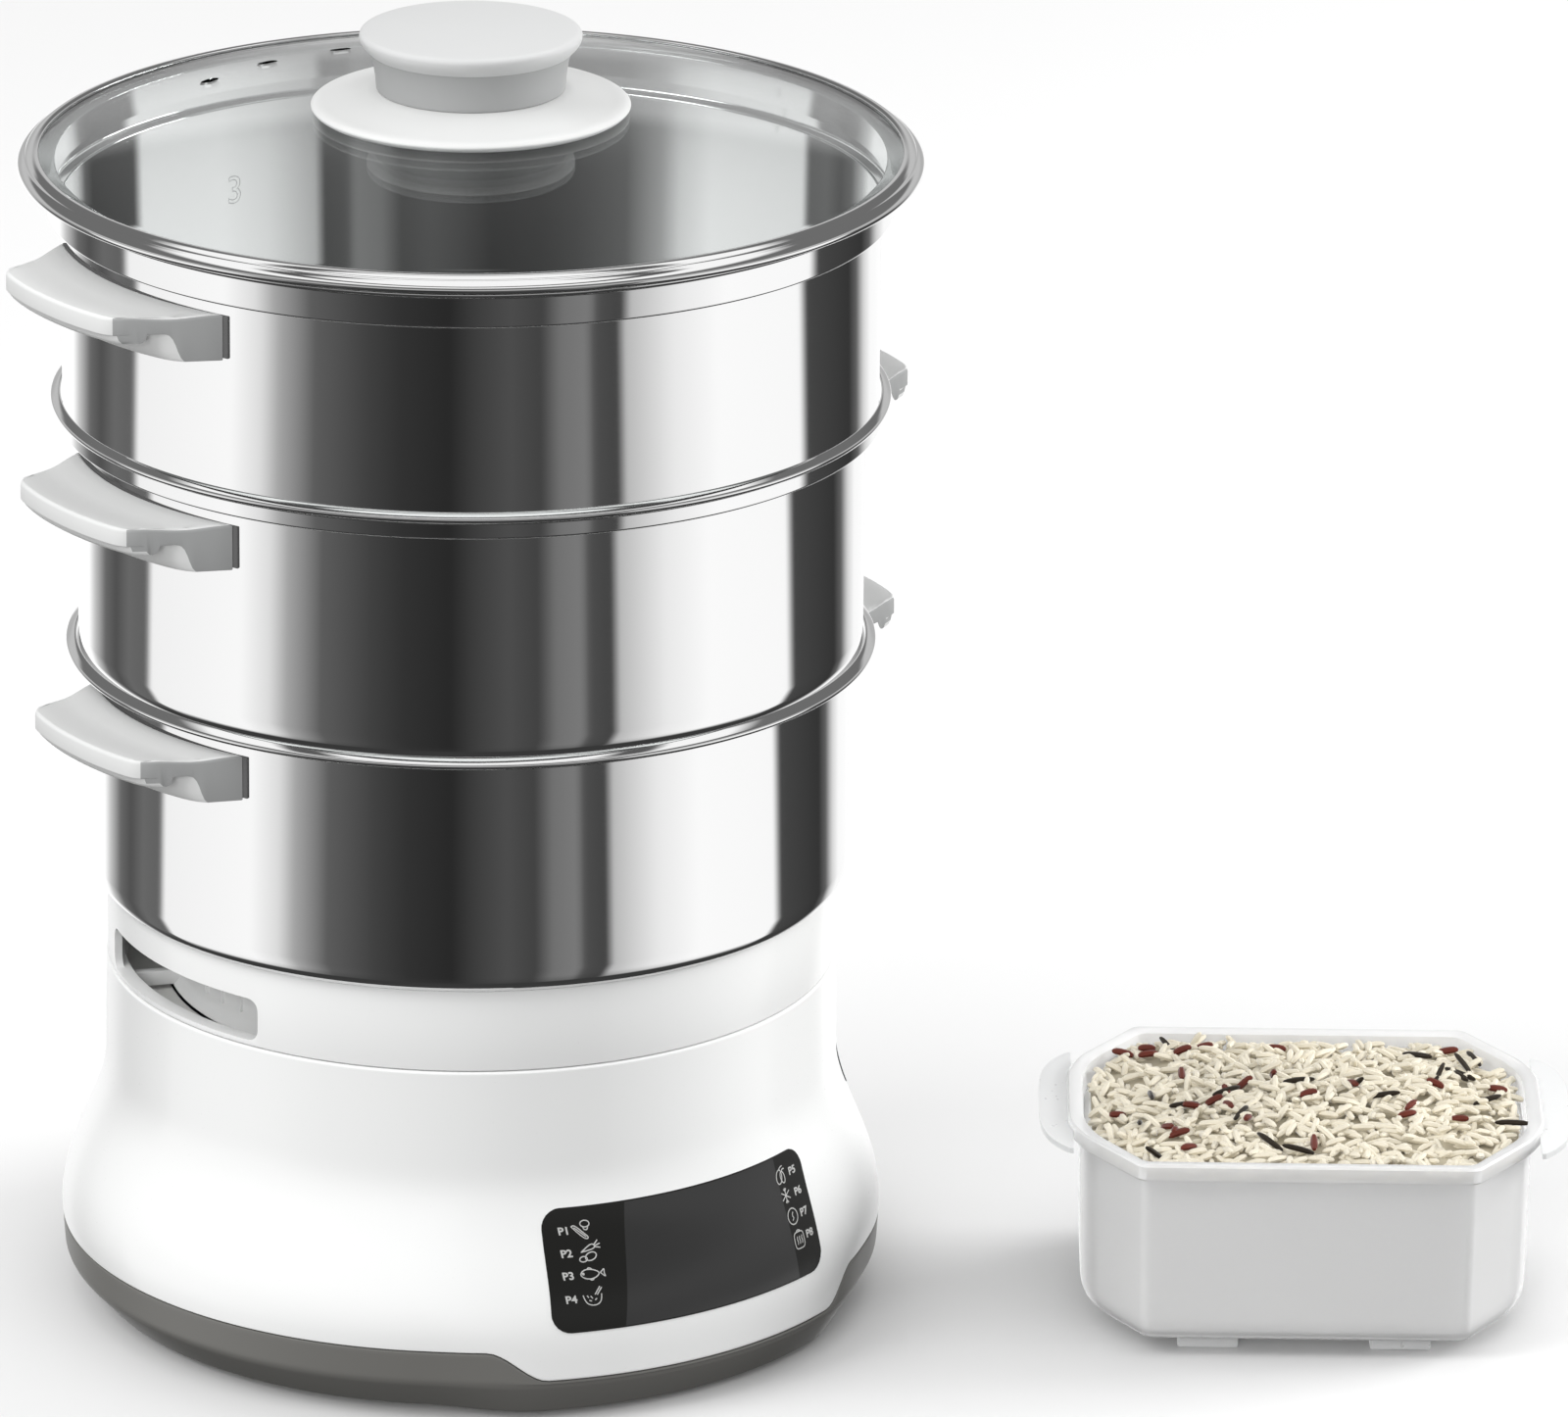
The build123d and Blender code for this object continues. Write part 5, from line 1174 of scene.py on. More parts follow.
@dataclass
class Handle:
    """A moulded side handle."""

    bowl: SteamBowl
    side: str
    gap: float = 1.7
    reach: float = 27.0
    corner_reach: float = 22.5
    corner_y: float = 31.0
    corner_cut: float = 5.0
    bow_power: float = 2.2
    end_deg: float = 20.6
    height: float = 14.0
    shelf: float = 5.5
    dish: float = 0.9
    back_hollow: float = 1.2
    rib_h: float = 2.8
    edge_ease: float = 1.1
    under_ease: float = 0.3

    def edge(self, u: float, v: float) -> tuple[float, float]:
        """A place on the handle's plan.

        Args:
            u: From -1 at one end to 1 at the other.
            v: From 0 at the wall to 1 at the outer edge.

        Returns:
            The place, X outward.
        """
        turn = math.radians(self.end_deg) * u
        back_r = self.bowl.wall_r + self.gap + self.back_hollow * (1 - u * u)
        back = Vector((back_r * math.cos(turn), back_r * math.sin(turn)))
        out_x = self.bowl.wall_r + self.corner_reach
        out_x += (self.reach - self.corner_reach) * (1 - abs(u) ** self.bow_power)
        corner = min(1.0, max(0.0, (abs(u) - 0.8) / 0.2))
        out_x -= self.corner_cut * (1 - math.sqrt(1 - corner * corner * 0.96))
        out = Vector((out_x, self.corner_y * u * (1.0 - 0.02 * corner)))
        return tuple(back.lerp(out, v))

    def build(self) -> None:
        """Builds the handle: a dished shelf on its apron, with a finger rib under its edge.

        The profile under it gives the depth of the underside at each share of the way out.
        """
        piece = Piece(f"{self.bowl.level}_grip_{self.side}", self.bowl.body, "handle_grey",
                      Looks.HANDLE, (f"{self.bowl.level}_handle_{self.side}",), crisp_deg=50.0,
                      in_steel=False, second=Looks.HANDLE_END_SHADE)
        bm = piece.bm
        top = self.bowl.handle_top_z
        full, shelf, rib = self.height, self.shelf, self.shelf + self.rib_h
        under = {0.0: full, 0.2: full, 0.40: full, 0.44: full - 1.2, 0.47: full - 3.1,
                 0.495: full - 5.1, 0.525: full - 6.9, 0.56: shelf + 0.5, 0.60: shelf,
                 0.70: shelf, 0.78: shelf, 0.80: rib - 1.3, 0.835: rib - 0.3, 0.87: rib,
                 0.905: rib - 0.3, 0.94: rib - 1.3, 0.96: shelf, 1.0: shelf}
        bmesh.ops.create_grid(bm, x_segments=len(under) - 1, y_segments=28, size=1.0)
        depth = bm.verts.layers.float.new("depth")
        rows = sorted({round(v.co.x, 4) for v in bm.verts})
        shares = dict(zip(rows, under))
        for vert in bm.verts:
            share = shares[round(vert.co.x, 4)]
            vert[depth] = under[share]
            x, y = self.edge(vert.co.y, share)
            z = top - self.dish * math.sin(math.pi * share) ** 2
            vert.co = (x * MM, y * MM, z * MM)
        lower = bmesh.ops.extrude_face_region(bm, geom=bm.faces[:])
        for vert in [g for g in lower["geom"] if isinstance(g, bmesh.types.BMVert)]:
            vert.co.z = (top - vert[depth]) * MM
        bm.verts.layers.float.remove(depth)
        piece.face_outward()
        bm.normal_update()
        # The faces looking along ±Y, the handle's two ends, take the darker second finish: painted
        # shade on the ends.
        for face in bm.faces:
            face.material_index = int(abs(face.normal.y) > 0.85 and abs(face.normal.z) < 0.2)
        middle = top - 3.0
        for ease, low_z, high_z in ((self.edge_ease, middle, top + 1.0),
                                    (self.under_ease, 0.0, middle)):
            sharp = [e for e in bm.edges if len(e.link_faces) == 2 and e.is_convex
                     and e.calc_face_angle(0.0) > math.radians(50)
                     and low_z * MM < (e.verts[0].co.z + e.verts[1].co.z) / 2 < high_z * MM]
            ease_edges(bm, sharp, ease, 4)
        if self.side == "left":
            bmesh.ops.rotate(bm, cent=(0, 0, 0), matrix=Matrix.Rotation(math.pi, 3, "Z"),
                             verts=bm.verts[:])
        piece.finished()


@dataclass
class Lid:
    """Glass lid with its steel rim, white flange and grey knob."""

    rim_r: float = 132.8
    seat_z: float = 347.4
    skirt_r: float = 122.6
    skirt_low_z: float = 340.4
    rim_in_r: float = 126.2
    glass_r: float = 128.0
    glass_t: float = 3.4
    glass_rings: int = 30
    bore_r: float = 4.0
    crown_z: float = 365.4
    sphere_r: float = 600.0
    flange_r: float = 46.9
    flange_z: float = 365.6
    neck_low_z: float = 370.6
    neck_low_r: float = 27.6
    neck_r: float = 29.6
    neck_top_z: float = 383.6
    knob_r: float = 32.6
    vent_r: float = 92.0
    vent_l: float = 6.4
    vent_w: float = 3.8
    vent_depth: float = 20.0
    vent_step_deg: float = 16.0
    vent_deg: float = 97.0

    def dome(self, radius: float, inset: float) -> float:
        """Height of the glass at a distance from the axis, under its upper face by an inset."""
        big = self.sphere_r - inset
        return self.crown_z - self.sphere_r + math.sqrt(big * big - radius * radius)

    def glass(self) -> None:
        """Builds the domed glass with its three steam vents."""
        piece = Piece("lid_pane", "lid", "lid_glass", Looks.GLASS, ("lid_glass",))
        step = (self.glass_r - self.bore_r) / self.glass_rings
        radii = [self.bore_r + i * step for i in range(self.glass_rings + 1)]
        upper = [(r, self.dome(r, 0.0), 0.5 if r == radii[-1] else 0.0) for r in radii]
        lower = [(r, self.dome(r, self.glass_t), 0.5 if r == radii[-1] else 0.0)
                 for r in reversed(radii)]
        piece.outline(upper + lower, segments=3)
        piece.turn(192)
        made = piece.finished()
        for number in (-1, 0, 1):
            cutter = Piece("vent_block", "lid", "lid_glass", Looks.GLASS)
            turn = math.radians(self.vent_deg + number * self.vent_step_deg)
            spot = Vector((self.vent_r, 0, self.dome(self.vent_r, 0))) * MM
            place = Matrix.Rotation(turn, 4, "Z") @ Matrix.Translation(spot)
            edges = box(cutter.bm, place, (self.vent_w, self.vent_l, self.vent_depth))
            upright = [e for e in edges
                       if abs(e.verts[0].co.z - e.verts[1].co.z) > self.vent_depth / 2 * MM]
            ease_edges(cutter.bm, upright, self.vent_w * 0.49, 6)
            cut_out(made, cutter)

    def rim(self) -> None:
        """Builds the rolled steel rim."""
        z = self.seat_z
        piece = Piece("lid_rim_ring", "lid", "bowl_steel", Looks.STEEL, ("lid_rim",))
        piece.outline([
            (self.skirt_r - 1.6, self.skirt_low_z, 0.0), (self.skirt_r, self.skirt_low_z, 0.7),
            (self.skirt_r, z, 0.6), (self.rim_r - 1.2, z, 0.9),
            (self.rim_r, z + 1.5, 1.0), (self.rim_r - 1.2, z + 3.2, 0.9),
            (self.rim_r - 2.6, z + 3.9, 0.3), (self.rim_r - 2.9, z + 4.4, 0.3),
            (self.rim_in_r + 2.0, z + 5.4, 0.8), (self.rim_in_r, z + 5.2, 0.5),
            (self.rim_in_r, z + 4.0, 0.3), (self.glass_r + 0.3, z + 3.6, 0.0),
            (self.glass_r + 0.3, z + 0.8, 0.4), (self.skirt_r - 1.6, z + 0.8, 0.4)])
        piece.turn(256)
        piece.finished()

    def flange(self) -> None:
        """Builds the white flange under the knob."""
        piece = Piece("knob_flange_disc", "lid", "flange_white", Looks.FLANGE, ("knob_flange",))
        sweep = []
        for i in range(9):
            t = i / 8
            r = self.flange_r - 2.0 + (self.neck_low_r + 0.8 - self.flange_r + 2.0) * t
            sweep.append((r, self.flange_z + 1.3 + (self.neck_low_z - self.flange_z - 1.3)
                          * (t ** 1.5), 0.0))
        low = [(r, self.dome(r, -0.2), 0.0)
               for r in (self.bore_r, 16.0, 28.0, 40.0, self.flange_r - 2.0)]
        piece.outline([(self.neck_low_r - 3.0, self.neck_low_z, 0.0),
                       (self.bore_r, self.neck_low_z, 0.0)] + low + [
            (self.flange_r - 0.8, self.flange_z - 1.0, 0.4), (self.flange_r, self.flange_z, 0.5),
            (self.flange_r - 0.8, self.flange_z + 0.8, 0.5)] + sweep)
        piece.turn(160)
        piece.finished()

    def knob(self) -> None:
        """Builds the knob."""
        # The neck takes a darker grey than the grip: painted shade under the grip's overhang.
        neck = Piece("knob_neck", "lid", "knob_grey", Looks.NECK_SHADE, crisp_deg=50.0)
        neck.outline([
            (0.0, self.neck_low_z, 0.0), (self.neck_low_r, self.neck_low_z, 0.6),
            (self.neck_low_r + 0.3, self.neck_low_z + 4.0, 0.0),
            (self.neck_low_r + 1.1, self.neck_low_z + 9.0, 0.0),
            (self.neck_r, self.neck_top_z - 1.6, 0.0), (0.0, self.neck_top_z - 1.6, 0.0)])
        neck.turn(128)
        neck.finished()
        piece = Piece("knob_grip", "lid", "knob_grey", Looks.KNOB, ("lid_knob",), crisp_deg=50.0)
        edge = self.neck_top_z + 4.4
        crown = [(self.knob_r * (1 - i / 8) * 0.93, edge + 1.6 * (1 - (1 - i / 8) ** 2), 0.0)
                 for i in range(1, 9)]
        piece.outline([
            (0.0, self.neck_top_z - 1.6, 0.0), (self.neck_r, self.neck_top_z - 1.6, 0.2),
            (self.knob_r - 0.8, self.neck_top_z + 0.6, 0.8),
            (self.knob_r, self.neck_top_z + 2.2, 0.8), (self.knob_r - 0.2, edge, 1.7)] + crown,
            segments=5)
        piece.turn(128)
        piece.finished()

    def build(self) -> None:
        """Builds the lid."""
        self.glass()
        self.rim()
        self.flange()
        self.knob()


@dataclass
class RiceBowl:
    """Clear eight-sided bowl and the rice in it. Sizes in millimetres, about its own middle."""

    distance: float = 249.0
    forward: float = 9.8
    turn_deg: float = -36.0
    length: float = 135.0
    width: float = 111.0
    chamfer_x: float = 19.0
    chamfer_y: float = 29.0
    side_cut: float = 2.0
    end_cut: float = 10.7
    height: float = 63.0
    foot_h: float = 5.0
    foot_x: float = 28.5
    foot_y: float = 41.0
    foot_l: float = 18.0
    foot_w: float = 8.0
    foot_ease: float = 0.8
    wall: float = 1.6
    draft: float = 1.5
    rim_w: float = 3.0
    rim_h: float = 5.0
    tab_reach: float = 11.5
    tab_half: float = 40.0
    tab_drop: float = 1.9
    tab_t: float = 1.7
    rice_edge_z: float = 58.6
    rice_rise: float = 6.5
    grain_inset: float = 4.6
    grain_tip: float = 0.3
    corner_share: float = 0.72
    grains: int = 1450

    @property
    def place(self) -> Matrix:
        """Where the bowl stands."""
        return (Matrix.Rotation(math.radians(self.turn_deg), 4, "Z")
                @ Matrix.Translation(Vector((self.distance, -self.forward, 0)) * MM))

    def loop(self, bm: bmesh.types.BMesh, inset: float, z: float) -> list[bmesh.types.BMEdge]:
        """Draws the bowl's plan at one level.

        Args:
            bm: The mesh.
            inset: How far inside the outer wall's upper edge.
            z: Height.

        Returns:
            The edges of the loop.
        """
        half_l, half_w = self.length / 2 - inset, self.width / 2 - inset
        flat_x = self.length / 2 - self.chamfer_x - inset * 0.4
        flat_y = self.width / 2 - self.chamfer_y - inset * 0.2
        spots = [(flat_x, half_w), (-flat_x, half_w), (-half_l, flat_y), (-half_l, -flat_y),
                 (-flat_x, -half_w), (flat_x, -half_w), (half_l, -flat_y), (half_l, flat_y)]
        before = set(bm.edges)
        points = [bm.verts.new((x * MM, y * MM, z * MM)) for x, y in spots]
        bm.faces.new(points)
        for at_end, cut in ((False, self.side_cut), (True, self.end_cut)):
            picked = [p for p in points if p.is_valid
                      and (abs(abs(p.co.x / MM) - half_l) < 0.01) == at_end]
            bmesh.ops.bevel(bm, geom=picked, offset=cut * MM, offset_type="OFFSET",
                            affect="VERTICES", segments=6, profile=0.5, material=-1)
        fresh = [f for f in bm.faces if all(e not in before for e in f.edges)
                 and len(f.verts) > 20 and abs(f.verts[0].co.z - z * MM) < 1e-7]
        bmesh.ops.delete(bm, geom=fresh, context="FACES_ONLY")
        return [e for e in bm.edges if e not in before]

    def stack(self, piece: Piece, levels: list[tuple[float, float]]) -> None:
        """Skins a stack of loops and closes its two ends.

        Args:
            piece: The mesh.
            levels: Inset and height of each loop.
        """
        loops = [self.loop(piece.bm, inset, z) for inset, z in levels]
        for low, high in zip(loops, loops[1:]):
            bmesh.ops.bridge_loops(piece.bm, edges=low + high)
        bmesh.ops.contextual_create(piece.bm, geom=loops[0])
        bmesh.ops.contextual_create(piece.bm, geom=loops[-1])
        piece.face_outward()

    def put(self, piece: Piece) -> bpy.types.Object:
        """Moves a piece drawn about the bowl's middle to its place, and finishes it."""
        bmesh.ops.transform(piece.bm, matrix=self.place, verts=piece.bm.verts[:])
        return piece.finished()

    def shell(self) -> None:
        """Builds the clear shell with its rim."""
        w, low, top = self.wall, self.foot_h, self.height
        outer = [(self.draft + 5.6, low), (self.draft + 3.2, low + 0.6),
                 (self.draft + 1.2, low + 2.2), (self.draft + 0.2, low + 4.6),
                 (self.draft - 0.2, low + 8.0), (0.3, top - 6.0),
                 (0.1, top - self.rim_h)]
        rim = [(-self.rim_w + 0.5, top - self.rim_h),
               (-self.rim_w, top - self.rim_h + 0.6),
               (-self.rim_w, top - 0.6), (-self.rim_w + 0.6, top),
               (w - 1.0, top - 0.05), (w, top - 0.7)]
        inner = [(w + 0.2, top - 6.0), (w + self.draft - 0.2, low + 9.0),
                 (w + self.draft + 0.4, low + 5.0), (w + self.draft + 1.6, low + 2.8),
                 (w + self.draft + 4.4, low + w)]
        piece = Piece("rice_bowl_shell", "rice_dish", "rice_clear", Looks.CLEAR, ("rice_bowl",),
                      crisp_deg=40.0, in_steel=False)
        self.stack(piece, outer + rim + inner)
        self.put(piece)

    def tabs(self) -> None:
        """Builds the two carrying tabs and the four feet."""
        root = self.length / 2 + self.rim_w - 0.4
        reach = self.length / 2 + self.tab_reach - root
        tab_z = self.height - self.tab_drop
        for side, name in ((-1, "left"), (1, "right")):
            piece = Piece(f"rice_bowl_tab_{name}", "rice_dish", "rice_clear", Looks.FROSTED,
                          in_steel=False)
            bmesh.ops.create_circle(piece.bm, cap_ends=True, segments=72, radius=1.0)
            for vert in piece.bm.verts:
                along, across = vert.co.x, vert.co.y
                x = root + reach * (1.0 - abs(across) ** 4) if along > 0 else root - 1.0
                vert.co = (side * x * MM, self.tab_half * across * MM, tab_z * MM)
            thicken(piece.bm, (0, 0, -self.tab_t * MM))
            piece.face_outward()
            self.put(piece)
        feet = Piece("rice_bowl_feet", "rice_dish", "rice_clear", Looks.FROSTED, in_steel=False)
        for sx in (-1, 1):
            for sy in (-1, 1):
                spot = Vector((sx * self.foot_x, sy * self.foot_y, self.foot_h / 2)) * MM
                edges = box(feet.bm, Matrix.Translation(spot),
                            (self.foot_l, self.foot_w, self.foot_h))
                ease_edges(feet.bm, edges, self.foot_ease, 3)
        self.put(feet)

    def heap(self, x: float, y: float) -> float:
        """Height of the rice at a place."""
        u, v = x / (self.length / 2 - 3), y / (self.width / 2 - 3)
        return self.rice_edge_z + self.rice_rise * max(0.0, 1.0 - u * u) * max(0.0, 1.0 - v * v)

    def rice_mass(self) -> None:
        """Builds the body of the rice under the loose grains, and its shaded bed."""
        w = self.wall
        piece = Piece("rice_body", "rice_dish", "rice_clear", Looks.RICE_MASS, in_steel=False)
        self.stack(piece, [
            (w + self.draft + 4.6, self.foot_h + w + 0.3),
            (w + self.draft + 1.9, self.foot_h + 3.4),
            (w + self.draft + 0.7, self.foot_h + 6.0),
            (w + self.draft + 0.1, self.foot_h + 10.0),
            (w + 0.6, self.rice_edge_z - 3.0), (w + 2.0, self.rice_edge_z - 1.2),
            (14.0, self.rice_edge_z + 0.6), (30.0, self.rice_edge_z + 3.0)])
        self.put(piece)
        bed = Piece("rice_bed", "rice_dish", "rice_clear", Looks.RICE_SHADE, in_steel=False)
        self.stack(bed, [
            (w + 2.6, self.rice_edge_z - 1.8), (w + 2.6, self.rice_edge_z - 0.8),
            (14.0, self.rice_edge_z + 1.4), (30.0, self.rice_edge_z + 4.0)])
        self.put(bed)

    @staticmethod
    def one_grain() -> bpy.types.Mesh:
        """Makes one grain of unit size, pointing up.

        Returns:
            The grain.
        """
        bm = bmesh.new()
        bmesh.ops.create_uvsphere(bm, u_segments=6, v_segments=7, radius=1.0)
        for vert in bm.verts:
            high = min(0.98, abs(vert.co.z))
            blunt = math.sqrt((1.0 - high ** 4) / (1.0 - high ** 2))
            vert.co.x = vert.co.x * blunt + 0.25 * high * high
            vert.co.y *= blunt
        mesh = bpy.data.meshes.new("grain")
        bm.to_mesh(mesh)
        bm.free()
        return mesh

    def loose_grains(self) -> None:
        """Scatters the long grains over the heap: count, half length and half width by kind."""
        dice = random.Random(11)
        seed = self.one_grain()
        kinds = {"cream": (self.grains, 3.6, 0.98, Looks.RICE),
                 "red": (28, 3.3, 1.05, Looks.RED_RICE),
                 "wild": (20, 5.2, 0.85, Looks.WILD_RICE)}
        for kind, (count, half, thick, finish) in kinds.items():
            piece = Piece(f"rice_grains_{kind}", "rice_dish", "rice_clear", finish,
                          in_steel=False)
            done = 0
            while done < count:
                x = dice.uniform(-1, 1) * (self.length / 2 - self.grain_inset)
                y = dice.uniform(-1, 1) * (self.width / 2 - self.grain_inset)
                along = (abs(x) - self.length / 2 + self.chamfer_x) / self.chamfer_x
                across = (abs(y) - self.width / 2 + self.chamfer_y) / self.chamfer_y
                if along + across > self.corner_share:
                    continue
                lift = dice.uniform(-1.2, 2.4) if kind == "cream" else dice.uniform(2.5, 3.0)
                spin = Matrix.Rotation(dice.uniform(0, math.tau), 4, "Z")
                tip = Matrix.Rotation(dice.gauss(0, self.grain_tip), 4, "Y")
                size = dice.uniform(0.85, 1.15)
                grain = seed.copy()
                grain.transform(
                    Matrix.Translation(Vector((x, y, self.heap(x, y) + lift)) * MM)
                    @ spin @ tip @ Matrix.Rotation(math.radians(90), 4, "Y")
                    @ Matrix.Diagonal((thick * MM, thick * MM, half * size * MM, 1.0)))
                piece.bm.from_mesh(grain)
                bpy.data.meshes.remove(grain)
                done += 1
            self.put(piece)

    def build(self) -> None:
        """Builds the bowl and its rice."""
        self.shell()
        self.tabs()
        self.rice_mass()
        self.loose_grains()


def dress_node(name: str, finish: Finish) -> None:
    """Gives a CAD node its finish.

    Args:
        name: The node.
        finish: The finish.
    """
    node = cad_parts[name]
    node.data.materials.clear()
    node.data.materials.append(finish.material())


# Upright screens round the object: degrees from the camera's line, and how light it is there.
SCREENS = (
    (-180, 1.0), (-152, 0.98), (-146, 0.55), (-137, 0.14), (-129, 0.08), (-121, 0.14),
    (-111.5, 0.12), (-108.5, 0.90), (-72, 0.97), (-62, 0.74), (-56, 0.38), (-45, 0.11),
    (-30, 0.055), (-20, 0.033), (-6, 0.022), (2, 0.05), (11, 0.075), (20, 0.055), (25.5, 0.17),
    (33, 0.20), (35.5, 0.075), (42.5, 0.055), (45, 0.50), (60, 0.84), (75, 0.99), (107, 0.97),
    (110.5, 0.06), (135, 0.035), (141, 0.12), (147, 0.65), (154, 0.92), (180, 0.9))

# Level tiers over the screens: how light, the heights of its edge (sine of the elevation), and
# the tier's share at those two heights.
TIERS = (
    (0.04, -0.66, -0.50, 1.0, 0.0), (0.42, -0.16, -0.05, 0.0, 1.0), (0.50, 0.08, 0.16, 0.0, 1.0),
    (0.15, 0.27, 0.32, 0.0, 1.0), (0.95, 0.72, 0.78, 0.0, 1.0), (0.10, 0.88, 0.90, 0.0, 1.0),
    (0.95, 0.93, 0.95, 0.0, 1.0))

# Soft lamps: name, place and side in metres, power in watts.
LAMPS = (
    ("left", (-1.8, 0.3, 1.8), 1.3, 26.0),
    ("front", (-2.0, -1.6, 0.8), 1.3, 26.0),
    ("right", (2.2, -0.7, 0.6), 1.3, 58.0))


@dataclass
class Studio:
    """Floor, light, surroundings and camera."""

    camera_azimuth: float = -34.0
    camera_pitch: float = 19.05
    camera_distance: float = 3.604
    camera_rise: float = 0.1693
    lens: float = 274.5
    shift_x: float = 0.1997
    sky_under: float = 0.32
    sky_low: float = 0.05
    sky_high: float = 1.65
    screen_strength: float = 1.18
    backdrop: float = 0.97
    lamp_aim: Corner = (0.05, -0.05, 0.18)
    floor_half: float = 12.0
    floor_tints: tuple[float, float] = (0.745, 0.755)
    floor_cloud: float = 3.0
    floor_rough: float = 0.9

    def floor(self) -> None:
        """Lays the pale floor."""
        bm = bmesh.new()
        bmesh.ops.create_grid(bm, x_segments=1, y_segments=1, size=self.floor_half)
        made = placed("studio_floor", bm)
        material = bpy.data.materials.new("studio_floor")
        material.use_nodes = True
        tree = material.node_tree
        place = add_node(tree, "TexCoord").outputs["Object"]
        cloud = add_node(tree, "TexNoise", {"Scale": self.floor_cloud, "Vector": place})
        low, high = ((tint, tint, tint, 1.0) for tint in self.floor_tints)
        mixed = add_node(tree, "Mix", {"A": low, "B": high, "Factor": cloud.outputs["Fac"]},
                         data_type="RGBA")
        fill(tree, tree.nodes["Principled BSDF"], {
            "Roughness": self.floor_rough, "Specular IOR Level": 0.0,
            "Base Color": mixed.outputs["Result"]})
        made.data.materials.append(material)
        made.visible_glossy = False
        made.visible_diffuse = False

    def surroundings(self) -> None:
        """Sets the world: a soft sky, and tall light and dark screens for polished steel."""
        world = bpy.data.worlds.new("studio")
        bpy.context.scene.world = world
        world.use_nodes = True
        tree = world.node_tree
        tree.nodes.clear()
        place = add_node(tree, "TexCoord").outputs["Generated"]
        parts = add_node(tree, "SeparateXYZ", {0: place})
        height = parts.outputs["Z"]
        white = add_node(tree, "Background", {
            "Color": (self.backdrop, self.backdrop, self.backdrop, 1.0)})
        level = self.ramp(tree, height, 0.0, 1.0, self.sky_low, self.sky_high)
        under = self.ramp(tree, height, -0.02, 0.0, self.sky_under - self.sky_low, 0.0)
        both = add_node(tree, "Math", {0: level, 1: under}, operation="ADD")
        sky = add_node(tree, "Background", {"Strength": both.outputs[0]})
        screens = add_node(tree, "Background", {
            "Color": self.screens(tree, parts), "Strength": self.screen_strength})
        rays = add_node(tree, "LightPath")
        shiny = add_node(tree, "Math", {0: rays.outputs["Glossy Depth"], 1: 0.5},
                         operation="GREATER_THAN")
        first = add_node(tree, "MixShader", {
            0: shiny.outputs[0], 1: white.outputs[0], 2: screens.outputs[0]})
        last = add_node(tree, "MixShader", {
            0: rays.outputs["Is Diffuse Ray"], 1: first.outputs[0], 2: sky.outputs[0]})
        add_node(tree, "OutputWorld", {"Surface": last.outputs[0]})

    @staticmethod
    def ramp(tree: bpy.types.NodeTree, value: bpy.types.NodeSocket, low: float, high: float,
             at_low: float, at_high: float) -> bpy.types.NodeSocket:
        """Adds a straight ramp between two levels, flat beyond them.

        Args:
            tree: The world's nodes.
            value: What the ramp reads.
            low: Value where it starts.
            high: Value where it ends.
            at_low: Level at the start.
            at_high: Level at the end.

        Returns:
            The level.
        """
        node = add_node(tree, "MapRange", {
            "From Min": low, "From Max": high, "To Min": at_low, "To Max": at_high,
            "Value": value})
        return node.outputs["Result"]

    def screens(self, tree: bpy.types.NodeTree, parts: bpy.types.ShaderNode
                ) -> bpy.types.NodeSocket:
        """Adds the nodes of the upright screens, with a dark floor and a light ceiling.

        Args:
            tree: The world's nodes.
            parts: The parts of the direction.

        Returns:
            The colour seen in each direction.
        """
        turn = add_node(tree, "Math", {0: parts.outputs["Y"], 1: parts.outputs["X"]},
                        operation="ARCTAN2")
        share = add_node(tree, "Math", {
            0: turn.outputs[0], 1: 1.0 / math.tau,
            2: 0.5 + (90.0 - self.camera_azimuth) / 360.0}, operation="MULTIPLY_ADD")
        wrap = add_node(tree, "Math", {0: share.outputs[0]}, operation="FRACT")
        ramp = add_node(tree, "ValToRGB", {"Fac": wrap.outputs[0]})
        ramp.color_ramp.interpolation = "LINEAR"
        marks = ramp.color_ramp.elements
        while len(marks) < len(SCREENS):
            marks.new(0.5)
        for mark, (deg, level) in zip(marks, SCREENS):
            mark.position = deg / 360.0 + 0.5
            mark.color = (level, level, level, 1.0)
        colour = ramp.outputs["Color"]
        for level, low, high, at_low, at_high in TIERS:
            mixed = add_node(tree, "Mix", {
                "A": colour, "B": (level, level, level, 1.0),
                "Factor": self.ramp(tree, parts.outputs["Z"], low, high, at_low, at_high)},
                data_type="RGBA")
            colour = mixed.outputs["Result"]
        return colour

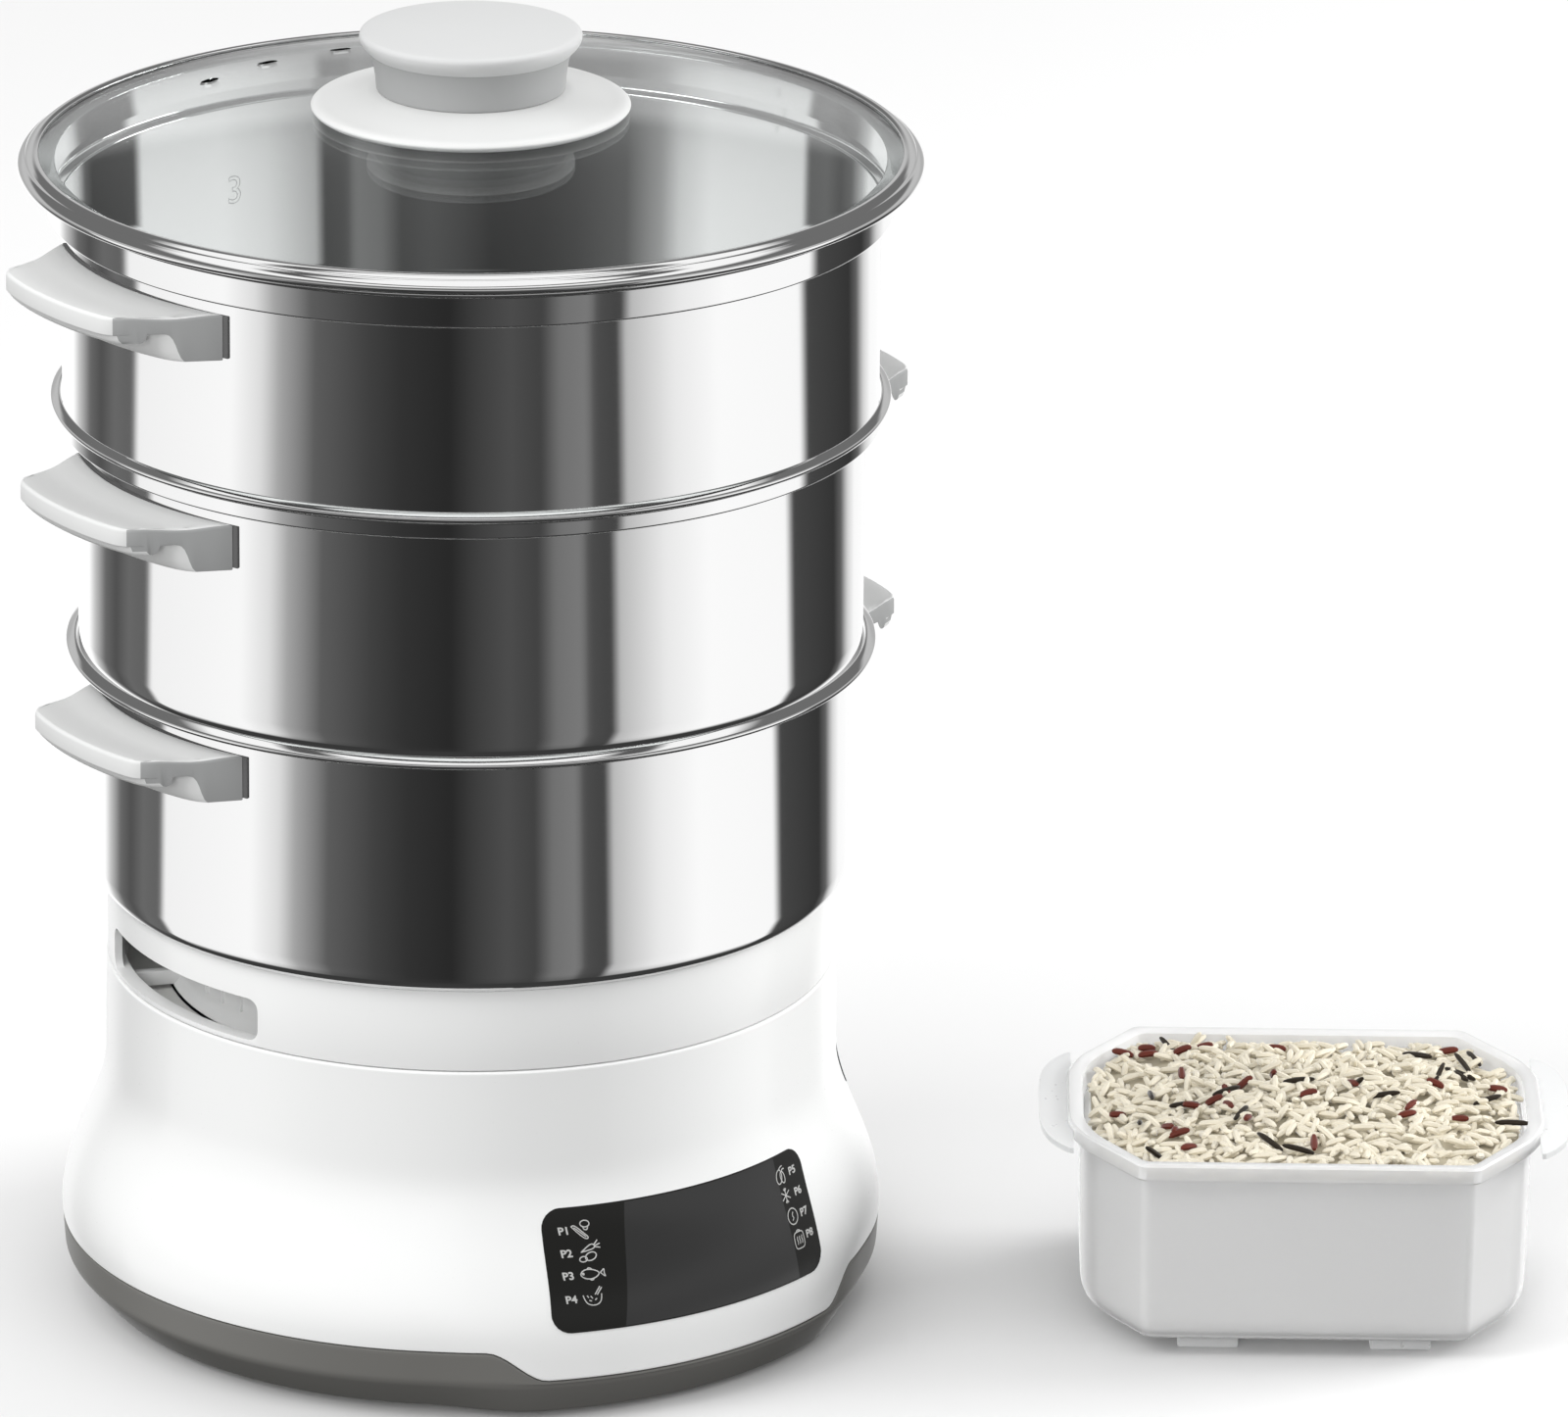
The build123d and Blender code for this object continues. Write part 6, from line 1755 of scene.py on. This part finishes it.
    def lamps(self) -> None:
        """Hangs the soft lamps."""
        for name, at, size, power in LAMPS:
            lamp = bpy.data.lights.new(name, "AREA")
            lamp.size = size
            lamp.energy = power
            made = bpy.data.objects.new(name, lamp)
            made.location = at
            aim = Vector(self.lamp_aim) - Vector(at)
            made.rotation_mode = "QUATERNION"
            made.rotation_quaternion = aim.to_track_quat("-Z", "Y")
            made.visible_glossy = False
            bpy.context.scene.collection.objects.link(made)

    def camera(self) -> None:
        """Sets up the camera."""
        a, p = math.radians(self.camera_azimuth), math.radians(self.camera_pitch)
        back = Vector((math.sin(a) * math.cos(p), -math.cos(a) * math.cos(p), math.sin(p)))
        right = Vector((math.cos(a), math.sin(a), 0.0))
        up = Vector((-math.sin(a) * math.sin(p), math.cos(a) * math.sin(p), math.cos(p)))
        data = bpy.data.cameras.new("camera")
        data.sensor_width = 36.0
        data.lens = self.lens
        data.shift_x = self.shift_x
        data.clip_end = 50.0
        made = bpy.data.objects.new("camera", data)
        bpy.context.scene.collection.objects.link(made)
        turned = Matrix((right, up, back)).transposed()
        made.rotation_mode = "QUATERNION"
        made.rotation_quaternion = turned.to_quaternion()
        made.location = back * self.camera_distance + up * self.camera_rise
        bpy.context.scene.camera = made

    def build(self) -> None:
        """Builds the studio."""
        self.floor()
        self.surroundings()
        self.lamps()
        self.camera()
        bpy.context.scene.view_settings.view_transform = "Standard"


def main() -> None:
    """Builds the steamer piece by piece, then the studio."""
    BaseUnit().build()
    DripTray().build()
    SteamBowl(level="bottom", number="1", wall_r=112.0, seat_z=130.0, foot_r=105.5,
              band_r=117.3, band_low_z=201.6, lip_r=120.0, lip_top_z=204.7, lip_edge_z=202.9,
              handle_top_z=197.0).build()
    SteamBowl(level="middle", number="2", wall_r=116.0, seat_z=202.4, foot_r=110.8,
              band_r=121.3, band_low_z=271.7, lip_r=123.7, lip_top_z=279.8, lip_edge_z=278.4,
              handle_top_z=268.2).build()
    SteamBowl(level="top", number="3", wall_r=120.0, seat_z=272.5, foot_r=114.8,
              band_r=124.0, band_low_z=335.4, lip_r=127.2, lip_top_z=347.4, lip_edge_z=346.4,
              handle_top_z=332.2).build()
    Lid().build()
    RiceBowl().build()
    for name, finish in INNER_NODES.items():
        dress_node(name, finish)
    Studio().build()


if __name__ == "__main__":
    main()
